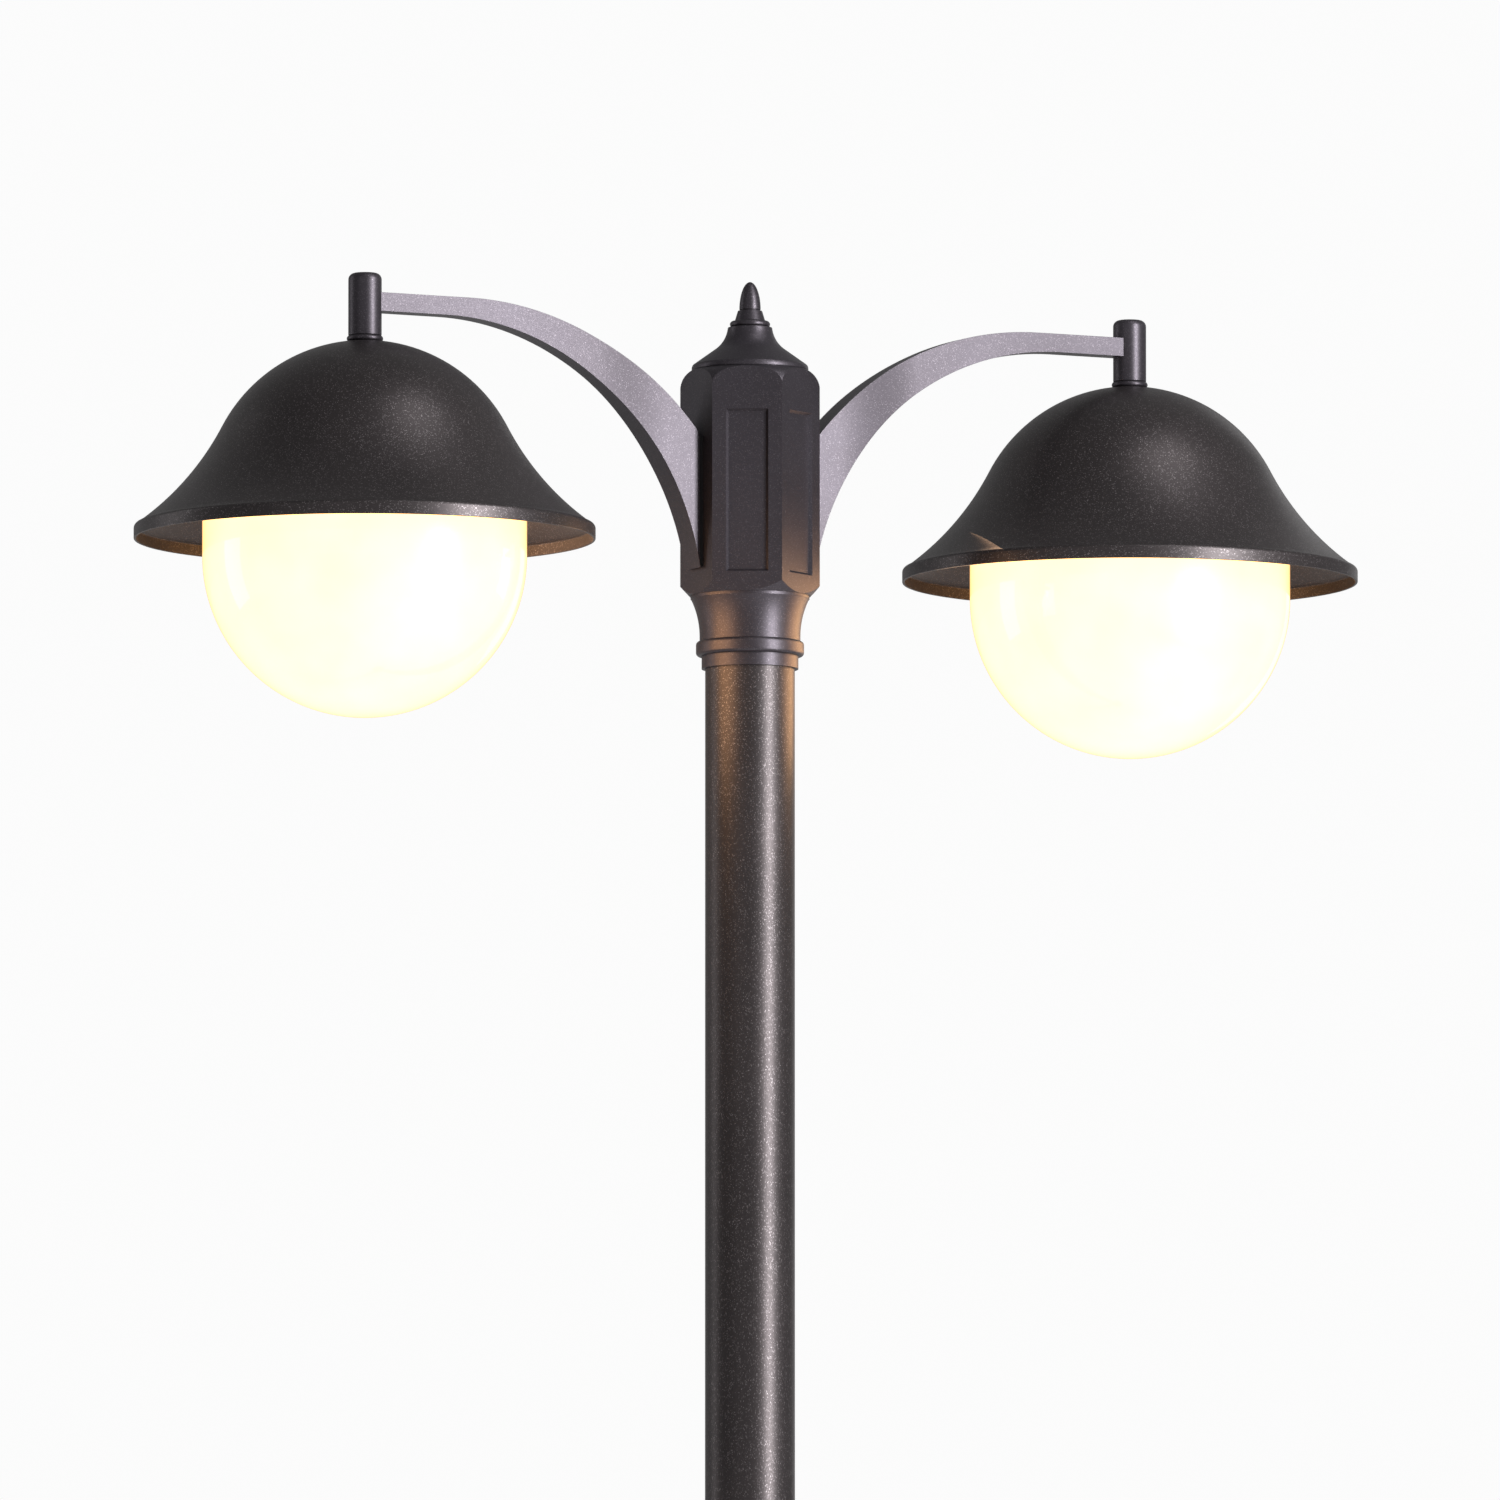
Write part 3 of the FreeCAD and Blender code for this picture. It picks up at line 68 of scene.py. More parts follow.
# ---------------------------------------------------------------- colours and materials

def colour(hexadecimal):
    """An sRGB hex colour as linear RGBA."""
    channels = [int(hexadecimal[i:i + 2], 16) / 255 for i in (0, 2, 4)]
    return [c / 12.92 if c <= 0.04045 else ((c + 0.055) / 1.055) ** 2.4 for c in channels] + [1.0]


def add(tree, kind, inputs=None, **settings):
    """A node with its settings, and its inputs set to a number or linked to a socket."""
    node = tree.nodes.new("ShaderNode" + kind)
    for name, setting in settings.items():
        setattr(node, name, setting)
    for name, given in (inputs or {}).items():
        if isinstance(given, bpy.types.NodeSocket):
            tree.links.new(given, node.inputs[name])
        else:
            node.inputs[name].default_value = given
    return node


def ramp(tree, source, stops):
    """A colour ramp between hex colours at the given positions."""
    node = add(tree, "ValToRGB", {"Fac": source})
    for element, (position, shade) in zip(node.color_ramp.elements, stops):
        element.position = position
        element.color = colour(shade)
    return node.outputs["Color"]


def new_material(name, **sockets):
    """A material with a Principled shader whose uniform values are set on its sockets."""
    material = bpy.data.materials.new(name)
    material.use_nodes = True
    shader = material.node_tree.nodes["Principled BSDF"]
    for socket, setting in sockets.items():
        shader.inputs[socket.replace("_", " ")].default_value = setting
    return material, material.node_tree, shader


def textured_powder_coat(name, dark, light, fleck, metallic, roughness, grain):
    """Polyester powder coat with aluminium flakes, sprayed and baked: a dry, finely pimpled skin
    that glitters a little where a light is mirrored. The real flakes are 0.1 mm; they are drawn
    as large as the grain so that they show."""
    material, tree, shader = new_material(name, Metallic=metallic)
    place = add(tree, "TexCoord").outputs["Object"]
    cloud = add(tree, "TexNoise", {"Vector": place, "Scale": 1 / (120 * MM), "Detail": 2.0})
    grit = add(tree, "TexNoise", {"Vector": place, "Scale": 1 / (2 * grain), "Detail": 2.0})
    flakes = add(tree, "TexVoronoi", {"Vector": place, "Scale": 1 / grain})
    spread = add(tree, "SeparateColor", {"Color": flakes.outputs["Color"]})
    tone = add(tree, "Mix", {"Factor": 0.45, "A": cloud.outputs["Fac"], "B": grit.outputs["Fac"]})
    body = ramp(tree, tone.outputs["Result"], [(0.36, dark), (0.64, light)])
    bright = add(tree, "MapRange", {"Value": spread.outputs["Red"], "From Min": 0.90, "From Max": 1.0})
    skin = add(tree, "Mix", {"Factor": bright.outputs["Result"], "A": body, "B": colour(fleck)},
               data_type="RGBA")
    gloss = add(tree, "MapRange", {"Value": spread.outputs["Green"], "To Min": roughness - 0.03,
                                   "To Max": roughness + 0.04})
    height = add(tree, "Math", {0: grit.outputs["Fac"], 1: spread.outputs["Blue"]}, operation="ADD")
    pimples = add(tree, "Bump", {"Height": height.outputs[0], "Strength": 0.3, "Distance": 0.03 * MM})
    tree.links.new(skin.outputs["Result"], shader.inputs["Base Color"])
    tree.links.new(gloss.outputs["Result"], shader.inputs["Roughness"])
    tree.links.new(pimples.outputs["Normal"], shader.inputs["Normal"])
    return material


def opal_glass():
    """Blown opal glass with a fire-polished skin, lit from inside by a warm lamp: an even white
    glow with faint milky clouds and a soft gloss over it."""
    material, tree, shader = new_material(
        "opal_glass", Roughness=0.3, IOR=1.5, Coat_Weight=1.0, Coat_Roughness=0.03,
        Emission_Strength=4.0)
    place = add(tree, "TexCoord").outputs["Object"]
    milk = add(tree, "TexNoise", {"Vector": place, "Scale": 1 / (70 * MM), "Detail": 2.0})
    glow = ramp(tree, milk.outputs["Fac"], [(0.3, "FFBE76"), (0.7, "FFC27C")])
    glass = ramp(tree, milk.outputs["Fac"], [(0.3, "5F5A4C"), (0.7, "6A6455")])
    waves = add(tree, "Bump", {"Height": milk.outputs["Fac"], "Strength": 0.2, "Distance": 0.3 * MM})
    tree.links.new(glow, shader.inputs["Emission Color"])
    tree.links.new(glass, shader.inputs["Base Color"])
    tree.links.new(waves.outputs["Normal"], shader.inputs["Normal"])
    return material


def bare_metal(name, dark, light, roughness, lines):
    """Turned or drawn metal without paint: fine lines from the tool and slight dulling."""
    material, tree, shader = new_material(name, Metallic=1.0)
    place = add(tree, "TexCoord").outputs["Object"]
    stretch = add(tree, "Mapping", {"Vector": place, "Scale": (1.0, 1.0, 12.0)})
    grain = add(tree, "TexNoise", {"Vector": stretch.outputs["Vector"], "Scale": 1 / lines, "Detail": 3.0})
    tone = ramp(tree, grain.outputs["Fac"], [(0.3, dark), (0.7, light)])
    gloss = add(tree, "MapRange", {"Value": grain.outputs["Fac"], "To Min": roughness - 0.06,
                                   "To Max": roughness + 0.08})
    scratches = add(tree, "Bump", {"Height": grain.outputs["Fac"], "Strength": 0.25, "Distance": 0.05 * MM})
    tree.links.new(tone, shader.inputs["Base Color"])
    tree.links.new(gloss.outputs["Result"], shader.inputs["Roughness"])
    tree.links.new(scratches.outputs["Normal"], shader.inputs["Normal"])
    return material


def moulded(name, dark, light, roughness, grain):
    """Moulded plastic or rubber: an even colour with a fine spark-eroded grain."""
    material, tree, shader = new_material(name, IOR=1.5)
    place = add(tree, "TexCoord").outputs["Object"]
    texture = add(tree, "TexNoise", {"Vector": place, "Scale": 1 / grain, "Detail": 3.0})
    tone = ramp(tree, texture.outputs["Fac"], [(0.35, dark), (0.65, light)])
    gloss = add(tree, "MapRange", {"Value": texture.outputs["Fac"], "To Min": roughness - 0.05,
                                   "To Max": roughness + 0.08})
    skin = add(tree, "Bump", {"Height": texture.outputs["Fac"], "Strength": 0.3, "Distance": 0.08 * MM})
    tree.links.new(tone, shader.inputs["Base Color"])
    tree.links.new(gloss.outputs["Result"], shader.inputs["Roughness"])
    tree.links.new(skin.outputs["Normal"], shader.inputs["Normal"])
    return material


POWDER_COAT = textured_powder_coat("powder_coat_sheet", "363233", "3F3A3B", "7A7476", 0.78, 0.38, 0.7 * MM)
CAST_COAT = textured_powder_coat("powder_coat_casting", "39353A", "423E44", "5E595F", 0.78, 0.40, 0.6 * MM)
OPAL = opal_glass()
BRASS = bare_metal("turned_brass", "8C6A2E", "B98F48", 0.30, 6 * MM)
STAINLESS = bare_metal("stainless_steel", "7E7F82", "A2A3A6", 0.28, 4 * MM)
ZINC = bare_metal("zinc_plated_steel", "8F9194", "B1B3B5", 0.40, 9 * MM)
RUBBER = moulded("black_rubber", "0B0B0C", "151516", 0.75, 1.5 * MM)
THERMOSET = moulded("white_thermoset", "CFCBC0", "DDD9CF", 0.42, 2 * MM)
DIFFUSER = moulded("frosted_diffuser", "ECE8DC", "F5F2E8", 0.35, 3 * MM)


# ---------------------------------------------------------------- modelling

def edit(piece):
    """Edit mode on one piece, with nothing selected."""
    bpy.ops.object.select_all(action="DESELECT")
    bpy.context.view_layer.objects.active = piece
    piece.select_set(True)
    bpy.ops.object.mode_set(mode="EDIT")
    bpy.ops.mesh.select_all(action="DESELECT")


def object_mode():
    bpy.ops.object.mode_set(mode="OBJECT")


def named(name):
    """Names the new piece and settles its place in its mesh."""
    piece = bpy.context.object
    piece.name = name
    piece.data.name = name
    bpy.ops.object.transform_apply(location=True, rotation=True, scale=True)
    return piece


def arc(centre_r, centre_z, radius, start, end, steps):
    """Stations (radius, height) along an arc, angles in degrees from the outward direction."""
    angles = [start + (end - start) * i / steps for i in range(steps + 1)]
    return [(centre_r + radius * math.cos(a * DEG), centre_z + radius * math.sin(a * DEG)) for a in angles]


def arc_between(start, end, radius, hollow=True):
    """Centre and angles, for arc, of the arc of a given radius from start up to end. A hollow arc
    has its centre outside the piece, and a bulging one inside it."""
    chord = end - start
    outward = Vector((chord.y, -chord.x)).normalized()
    reach = math.sqrt(radius ** 2 - (chord.length / 2) ** 2)
    centre = (start + end) / 2 + outward * (reach if hollow else -reach)
    first, last = (math.degrees(math.atan2(tip.y - centre.y, tip.x - centre.x)) for tip in (start, end))
    return centre.x, centre.y, first, first + (last - first + 180) % 360 - 180


def turned(name, axis, stations, segments=128, ring=False):
    """A piece made on a lathe: a circle is extruded and scaled from station to station. Stations
    are (radius, height) in metres. A ring ends on the circle it began with; otherwise the piece
    ends flat, or in a point where its last radius is nothing."""
    bpy.ops.object.select_all(action="DESELECT")
    first_r, first_z = stations[0]
    fill = "NOTHING" if ring else "NGON"
    bpy.ops.mesh.primitive_circle_add(vertices=segments, radius=first_r, fill_type=fill,
                                      location=(axis.x, axis.y, first_z))
    piece = named(name)
    bpy.ops.object.mode_set(mode="EDIT")
    bpy.ops.mesh.select_mode(type="EDGE")
    bpy.ops.mesh.select_all(action="DESELECT")
    if ring:
        bpy.ops.mesh.select_non_manifold()
    else:
        bpy.ops.mesh.select_all(action="SELECT")
        bpy.ops.mesh.region_to_loop()
    for (r0, z0), (r1, z1) in zip(stations, stations[1:]):
        bpy.ops.mesh.extrude_edges_move(TRANSFORM_OT_translate={"value": (0, 0, z1 - z0)})
        share = max(r1, 1e-6) / r0
        bpy.ops.transform.resize(value=(share, share, 1), center_override=(axis.x, axis.y, z1))
    if stations[-1][0] == 0:
        bpy.ops.mesh.merge(type="CENTER")
    elif not ring:
        bpy.ops.mesh.edge_face_add()
    bpy.ops.mesh.select_all(action="SELECT")
    bpy.ops.mesh.remove_doubles(threshold=1e-6)
    bpy.ops.mesh.normals_make_consistent(inside=False)
    object_mode()
    return piece


def drawn(name, corners, across):
    """A flat outline drawn corner by corner with an extruded point, filled, and pulled across."""
    bpy.ops.object.select_all(action="DESELECT")
    bpy.ops.mesh.primitive_plane_add(size=MM, location=corners[0])
    piece = named(name)
    bpy.ops.object.mode_set(mode="EDIT")
    bpy.ops.mesh.select_mode(type="VERT")
    bpy.ops.mesh.select_all(action="SELECT")
    bpy.ops.mesh.merge(type="CENTER")
    for before, after in zip(corners, corners[1:] + corners[:1]):
        step = Vector(after) - Vector(before)
        bpy.ops.mesh.extrude_vertices_move(TRANSFORM_OT_translate={"value": step})
    bpy.ops.mesh.select_all(action="SELECT")
    bpy.ops.mesh.remove_doubles(threshold=1e-6)
    bpy.ops.mesh.edge_face_add()
    bpy.ops.mesh.extrude_region_move(TRANSFORM_OT_translate={"value": across})
    bpy.ops.mesh.select_all(action="SELECT")
    bpy.ops.mesh.normals_make_consistent(inside=False)
    object_mode()
    return piece


def select_faces(piece, wanted):
    """Selects the faces whose centre and normal pass a test. Call it in edit mode."""
    bpy.ops.mesh.select_mode(type="FACE")
    bpy.ops.mesh.select_all(action="DESELECT")
    object_mode()
    for polygon in piece.data.polygons:
        polygon.select = wanted(polygon.center, polygon.normal)
    bpy.ops.object.mode_set(mode="EDIT")


def apply_modifier(piece, kind, **settings):
    """Adds a modifier and applies it."""
    bpy.ops.object.select_all(action="DESELECT")
    bpy.context.view_layer.objects.active = piece
    piece.select_set(True)
    modifier = piece.modifiers.new(kind.lower(), kind)
    for name, setting in settings.items():
        setattr(modifier, name, setting)
    bpy.ops.object.modifier_apply(modifier=modifier.name)


def soften(piece, width, segments=2, angle=30):
    """Rounds the edges sharper than an angle, as paint and casting leave them."""
    apply_modifier(piece, "BEVEL", width=width, segments=segments, limit_method="ANGLE",
                   angle_limit=angle * DEG, harden_normals=False, use_clamp_overlap=True)


def combine(piece, other, operation):
    """A boolean of two pieces; the second is used up."""
    apply_modifier(piece, "BOOLEAN", object=other, operation=operation, solver="EXACT")
    bpy.data.objects.remove(other)


def complete(piece, material, body, nodes, smooth=32):
    """Shades, paints and places a finished piece under its body, and hides the CAD nodes it stands in for.
    """
    bpy.ops.object.select_all(action="DESELECT")
    bpy.context.view_layer.objects.active = piece
    piece.select_set(True)
    bpy.ops.object.shade_smooth_by_angle(angle=smooth * DEG)
    apply_modifier(piece, "WEIGHTED_NORMAL", weight=100, keep_sharp=True)
    piece.data.materials.clear()
    piece.data.materials.append(material)
    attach(piece, body)
    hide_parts(*nodes)
    return piece


def at(level, stations):
    """Stations in millimetres above a level, as metres."""
    return [(r * MM, level + z * MM) for r, z in stations]


# ---------------------------------------------------------------- lamps

SHADE_SHEET = 2.5
CROWN_RADIUS = 158.6
CROWN_LEVEL = 38
CROWN_TURN = 27.4
SHADE_RADIUS = 227.5
SHADE_LIP = 14.5
LIP_ROUND = 4.0
SHADE_SEAT = 19.0
STEM_HOLE = 6.8
GLOBE_RADIUS = 160
GLOBE_DROP = 16.1
GLOBE_STRAIGHT = 20
GLOBE_SHOULDER = 42
GLOBE_WALL = 4
NECK_RADIUS = 98
NECK_HEIGHT = 22
NECK_BEAD = 3
BEAD_EDGE, BEAD_FOOT = 5, 8


def flare():
    """Centre and radius of the arc that leaves the crown smoothly and ends at the band's corner."""
    cos_turn, sin_turn = math.cos(CROWN_TURN * DEG), math.sin(CROWN_TURN * DEG)
    gap_r = CROWN_RADIUS * cos_turn - (SHADE_RADIUS - LIP_ROUND)
    gap_z = CROWN_LEVEL + CROWN_RADIUS * sin_turn - SHADE_LIP
    radius = -(gap_r ** 2 + gap_z ** 2) / (2 * (gap_r * cos_turn + gap_z * sin_turn))
    return (CROWN_RADIUS + radius) * cos_turn, CROWN_LEVEL + (CROWN_RADIUS + radius) * sin_turn, radius


def shade(side):
    """The spun bell: band, hollow flare and round crown, then its sheet thickness inwards."""
    flare_r, flare_z, flare_radius = flare()
    lip_r = SHADE_RADIUS - LIP_ROUND
    flare_end = math.degrees(math.atan2(SHADE_LIP - flare_z, lip_r - flare_r))
    seat_angle = math.degrees(math.acos(SHADE_SEAT / CROWN_RADIUS))
    stations = [(SHADE_RADIUS, 0.0)]
    stations += arc(lip_r, SHADE_LIP - LIP_ROUND, LIP_ROUND, 0, 90, 5)
    stations += arc(flare_r, flare_z, flare_radius, flare_end, CROWN_TURN - 180, 26)[1:]
    stations += arc(0, CROWN_LEVEL, CROWN_RADIUS, CROWN_TURN, seat_angle, 24)[1:]
    stations += [(STEM_HOLE, stations[-1][1])]
    piece = turned(f"bell_shade_{side}", LAMP_AXES[side], at(RIM, stations), segments=192, ring=True)
    apply_modifier(piece, "SOLIDIFY", thickness=SHADE_SHEET * MM, offset=-1.0, use_even_offset=True)
    soften(piece, 0.8 * MM, angle=50)
    complete(piece, POWDER_COAT, "post", [f"shade_{side}"])


def globe(side):
    """The blown globe: bowl, straight side, shoulder and beaded neck."""
    throat = NECK_RADIUS - NECK_BEAD
    shoulder_top = GLOBE_STRAIGHT + GLOBE_SHOULDER
    mouth = shoulder_top + NECK_HEIGHT
    stations = [(NECK_RADIUS, mouth), (NECK_RADIUS, mouth - BEAD_EDGE)]
    stations += [(throat, mouth - BEAD_FOOT), (throat, shoulder_top)]
    stations += arc(GLOBE_RADIUS - GLOBE_SHOULDER, GLOBE_STRAIGHT, GLOBE_SHOULDER, 90, 0, 10)
    stations += arc(0, -GLOBE_DROP, GLOBE_RADIUS, 0, -90, 40)[:-1] + [(0, -GLOBE_DROP - GLOBE_RADIUS)]
    outside = turned(f"opal_globe_{side}", LAMP_AXES[side], at(RIM, stations), segments=144, ring=True)
    apply_modifier(outside, "SOLIDIFY", thickness=GLOBE_WALL * MM, offset=-1.0, use_even_offset=True)
    soften(outside, 0.8 * MM, angle=50)
    complete(outside, OPAL, "post", [f"globe_{side}"])


def stub(side):
    """The upright that carries a lamp: a plain post with a rounded top."""
    low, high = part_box(f"stub_{side}")
    radius = (high.y - low.y) / 2 / MM
    height = (high.z - low.z) / MM
    top_round = 6.5
    stations = [(radius, 0), (radius, height - top_round)]
    stations += arc(radius - top_round, height - top_round, top_round, 0, 90, 8)[1:]
    piece = turned(f"lamp_stub_{side}", LAMP_AXES[side], at(low.z, stations), segments=64)
    soften(piece, 0.6 * MM, angle=50)
    complete(piece, CAST_COAT, "post", [f"stub_{side}"])


def stub_ring(side):
    """The washer with a rounded edge between a stub and its shade."""
    low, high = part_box(f"stub_washer_{side}")
    half = (high.z - low.z) / 2 / MM
    radius = 18.0
    stations = [(STEM_HOLE, 0)] + arc(radius - half, half, half, -90, 90, 10)
    stations += [(STEM_HOLE, 2 * half), (STEM_HOLE, 0)]
    piece = turned(f"stub_ring_{side}", LAMP_AXES[side], at(low.z, stations), segments=64, ring=True)
    complete(piece, CAST_COAT, "post", [f"stub_washer_{side}"])


ARM_DEPTH = 18.5
ARM_WIDTH = 21.5
ARM_ROOT_WIDTH = 33.0
ARM_TAPER = (28.0, 120.0)
TAPER_STEPS = 16
ARM_TOP_CURVE, ARM_TOP_RUN = 322.0, 253.0
ARM_LOW_CURVE, ARM_LOW_RUN = 281.5, 278.0


def sweep(run, level, curve, steps=44):
    """Stations (distance from the root, level) along an arc that ends level, from the root outwards."""
    whole = math.asin(run / curve)
    angles = [whole * (1 - i / steps) for i in range(steps + 1)]
    return [(run - curve * math.sin(a), level - curve * (1 - math.cos(a))) for a in angles]


def arm(side):
    """The flat-sided arm: its side view between two arcs, cut to the plan that tapers from the root."""
    sign = SIDES[side]
    low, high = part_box(f"arm_{side}")
    root = min(abs(low.x), abs(high.x)) / MM
    reach = (high.x - low.x) / MM
    top = high.z / MM
    outline = sweep(ARM_TOP_RUN, top, ARM_TOP_CURVE) + [(reach, top), (reach, top - ARM_DEPTH)]
    outline += sweep(ARM_LOW_RUN, top - ARM_DEPTH, ARM_LOW_CURVE)[::-1]
    half = ARM_ROOT_WIDTH / 2
    corners = [(sign * (root + u) * MM, -half * MM, level * MM) for u, level in outline]
    piece = drawn(f"arm_casting_{side}", corners, (0, 2 * half * MM, 0))

    taper_start, taper_end = ARM_TAPER
    overrun = 1
    edge = [(-overrun, half)]
    for i in range(TAPER_STEPS + 1):
        share = i / TAPER_STEPS
        ease = share * share * (3 - 2 * share)
        edge.append((taper_start + (taper_end - taper_start) * share, half + (ARM_WIDTH / 2 - half) * ease))
    edge.append((reach + overrun, ARM_WIDTH / 2))
    plan = edge + [(u, -width) for u, width in reversed(edge)]
    spare = 5 * MM
    corners = [(sign * (root + u) * MM, width * MM, low.z - spare) for u, width in plan]
    combine(piece, drawn("arm_plan", corners, (0, 0, high.z - low.z + 2 * spare)), "INTERSECT")
    soften(piece, 1.0 * MM, angle=40)
    complete(piece, CAST_COAT, "post", [f"arm_{side}"], smooth=25)


for lamp_side in SIDES:
    shade(lamp_side)
    globe(lamp_side)
    stub(lamp_side)
    stub_ring(lamp_side)
    arm(lamp_side)


# ---------------------------------------------------------------- head of the post

def hub():
    """The hexagonal casting: turned at foot and shoulder, with a sunk panel on four faces."""
    flat = (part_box("hub_body")[1].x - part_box("hub_body")[0].x) / 2 / MM
    corner = flat / math.cos(30 * DEG)
    height = (HUB_TOP - HUB_FOOT) / MM
    bpy.ops.object.select_all(action="DESELECT")
    bpy.ops.mesh.primitive_cylinder_add(vertices=6, radius=corner * MM, depth=height * MM,
                                        location=(0, 0, (HUB_FOOT + HUB_TOP) / 2))
    piece = named("hub_casting")
    panel_width, panel_low, panel_high = 42.0, 19.0, 181.0
    slope_width, panel_depth = 2.4, 3.2
    side_inset = (corner - panel_width) / 2
    nearly = 0.97
    plane = nearly * flat * MM
    for turn in (60, 120, 240, 300):
        outward = Vector((math.cos(turn * DEG), math.sin(turn * DEG), 0))
        edit(piece)
        select_faces(piece, lambda centre, normal: normal.dot(outward) > nearly
                     and centre.dot(outward) > plane)
        bpy.ops.mesh.inset(thickness=side_inset * MM, depth=0)
        share = (panel_high - panel_low) / (height - 2 * side_inset)
        bpy.ops.transform.resize(value=(1, 1, share), center_override=(0, 0, (HUB_FOOT + HUB_TOP) / 2))
        drop = (panel_low + panel_high - height) / 2 * MM
        bpy.ops.transform.translate(value=(0, 0, drop))
        bpy.ops.mesh.inset(thickness=slope_width * MM, depth=-panel_depth * MM)
        object_mode()
    foot_r, shoulder_r = 60.0, 58.0
    shoulder_height, shoulder_curve, foot_chamfer = 22.0, 22.0, 10.0
    clear, run_out = 0.2, 0.5
    shoulder = arc_between(Vector((corner, height - shoulder_height)), Vector((shoulder_r, height)),
                           shoulder_curve, hollow=False)
    blank = [(foot_r, 0), (corner, foot_chamfer), (corner + clear, foot_chamfer + run_out)]
    blank += [(corner + clear, height - shoulder_height - clear)]
    centre_r, centre_z, first, last = shoulder
    blank += arc(centre_r, centre_z, shoulder_curve, first, last, 12)
    combine(piece, turned("hub_blank", POST_AXIS, at(HUB_FOOT, blank), segments=192), "INTERSECT")
    soften(piece, 0.9 * MM, angle=28)
    complete(piece, CAST_COAT, "post", ["hub_body"], smooth=24)


def collar():
    """The turned collar under the hub: ring, bead, neck and flare."""
    bore = (POLE_RADIUS + POLE_FIT) / MM
    ring_r, neck_r = 48.0, 50.0
    bead_r, bead_low, bead_high, bead_round = 53.6, 12.5, 27.4, 3.7
    flare_r, flare_start, flare_height, flare_curve = 58.5, 33.0, 36.5, 85.0
    lip_r, lip_low, lip_top = 59.0, 69.5, 72.5
    centre_r, centre_z, first, last = arc_between(
        Vector((neck_r, flare_start)), Vector((flare_r, flare_start + flare_height)), flare_curve)
    stations = [(bore, 0), (ring_r, 0), (ring_r, bead_low)]
    stations += arc(bead_r - bead_round, bead_low + bead_round, bead_round, -90, 0, 6)
    stations += arc(bead_r - bead_round, bead_high - bead_round, bead_round, 0, 90, 6)
    stations += [(neck_r, bead_high)] + arc(centre_r, centre_z, flare_curve, first, last, 14)
    stations += [(lip_r, lip_low), (lip_r, lip_top), (bore, lip_top), (bore, 0)]
    piece = turned("collar_turning", POST_AXIS, at(COLLAR_FOOT, stations), segments=128, ring=True)
    soften(piece, 0.7 * MM, angle=35)
    complete(piece, CAST_COAT, "post", ["neck_collar"])


def cap():
    """The cap of the hub, a low cone that sweeps up to the finial."""
    rounded_edge = [(57.6, 0), (58.0, 1.5), (57.8, 3.6), (57.0, 5.3), (56.0, 6.2)]
    curve = 30.5
    centre_r, centre_z, first, last = arc_between(Vector((34.6, 21.5)), Vector((22.0, 43.4)), curve)
    stations = rounded_edge + arc(centre_r, centre_z, curve, first, last, 14)
    piece = turned("cap_casting", POST_AXIS, at(HUB_TOP, stations), segments=128)
    soften(piece, 0.6 * MM, angle=35)
    complete(piece, CAST_COAT, "post", ["hub_cap"])


def finial():
    """Bead, cone and pointed tip."""
    foot_r, bead_r, bead_h = 16.8, 20.0, 6.4
    cone_foot_r, cone_top_r, cone_top = 15.2, 12.0, 16.8
    throat_r, tip_r, tip_foot = 9.6, 10.6, 17.8
    tip_length = (FINIAL_TOP - CAP_TOP) / MM - tip_foot
    tip_steps = 14
    stations = [(foot_r, 0)] + arc(bead_r - bead_h / 2, bead_h / 2, bead_h / 2, -90, 90, 10)
    stations += [(cone_foot_r, bead_h), (cone_top_r, cone_top), (throat_r, cone_top), (throat_r, tip_foot)]
    for i in range(tip_steps):
        angle = 90 * i / tip_steps * DEG
        stations.append((tip_r * math.cos(angle), tip_foot + tip_length * math.sin(angle)))
    stations.append((0, tip_foot + tip_length))
    piece = turned("finial_turning", POST_AXIS, at(CAP_TOP, stations), segments=64)
    soften(piece, 0.5 * MM, angle=40)
    complete(piece, CAST_COAT, "post", ["finial"])


POLE_WALL = 4 * MM
HAND_HOLE_WIDTH = 46 * MM
HAND_HOLE_HEIGHT = 230 * MM
HAND_HOLE_CORNER = 8 * MM


def pole_length(name, node):
    """One length of the pole's tube, as tall as its node; the caller breaks its cut ends."""
    low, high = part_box(node)
    bore = POLE_RADIUS - POLE_WALL
    stations = [(bore, low.z), (POLE_RADIUS, low.z), (POLE_RADIUS, high.z), (bore, high.z), (bore, low.z)]
    return turned(name, POST_AXIS, stations, segments=128, ring=True)


def pole():
    """The shaft, and the lower length with its rounded hand hole."""
    shaft = pole_length("pole_shaft_steel", "pole_shaft")
    soften(shaft, 0.6 * MM, angle=50)
    complete(shaft, POWDER_COAT, "post", ["pole_shaft"])
    base = pole_length("pole_base_steel", "pole_base")
    bpy.ops.object.select_all(action="DESELECT")
    bpy.ops.mesh.primitive_cube_add(size=1, location=(0, -POLE_RADIUS, DOOR_LEVEL),
                                    scale=(HAND_HOLE_WIDTH, POLE_RADIUS, HAND_HOLE_HEIGHT))
    cutter = named("hand_hole_cutter")
    soften(cutter, HAND_HOLE_CORNER, segments=5)
    combine(base, cutter, "DIFFERENCE")
    soften(base, 0.6 * MM, angle=50)
    complete(base, POWDER_COAT, "post", ["pole_base"])


hub()
collar()
cap()
finial()
pole()


# ---------------------------------------------------------------- foot of the post

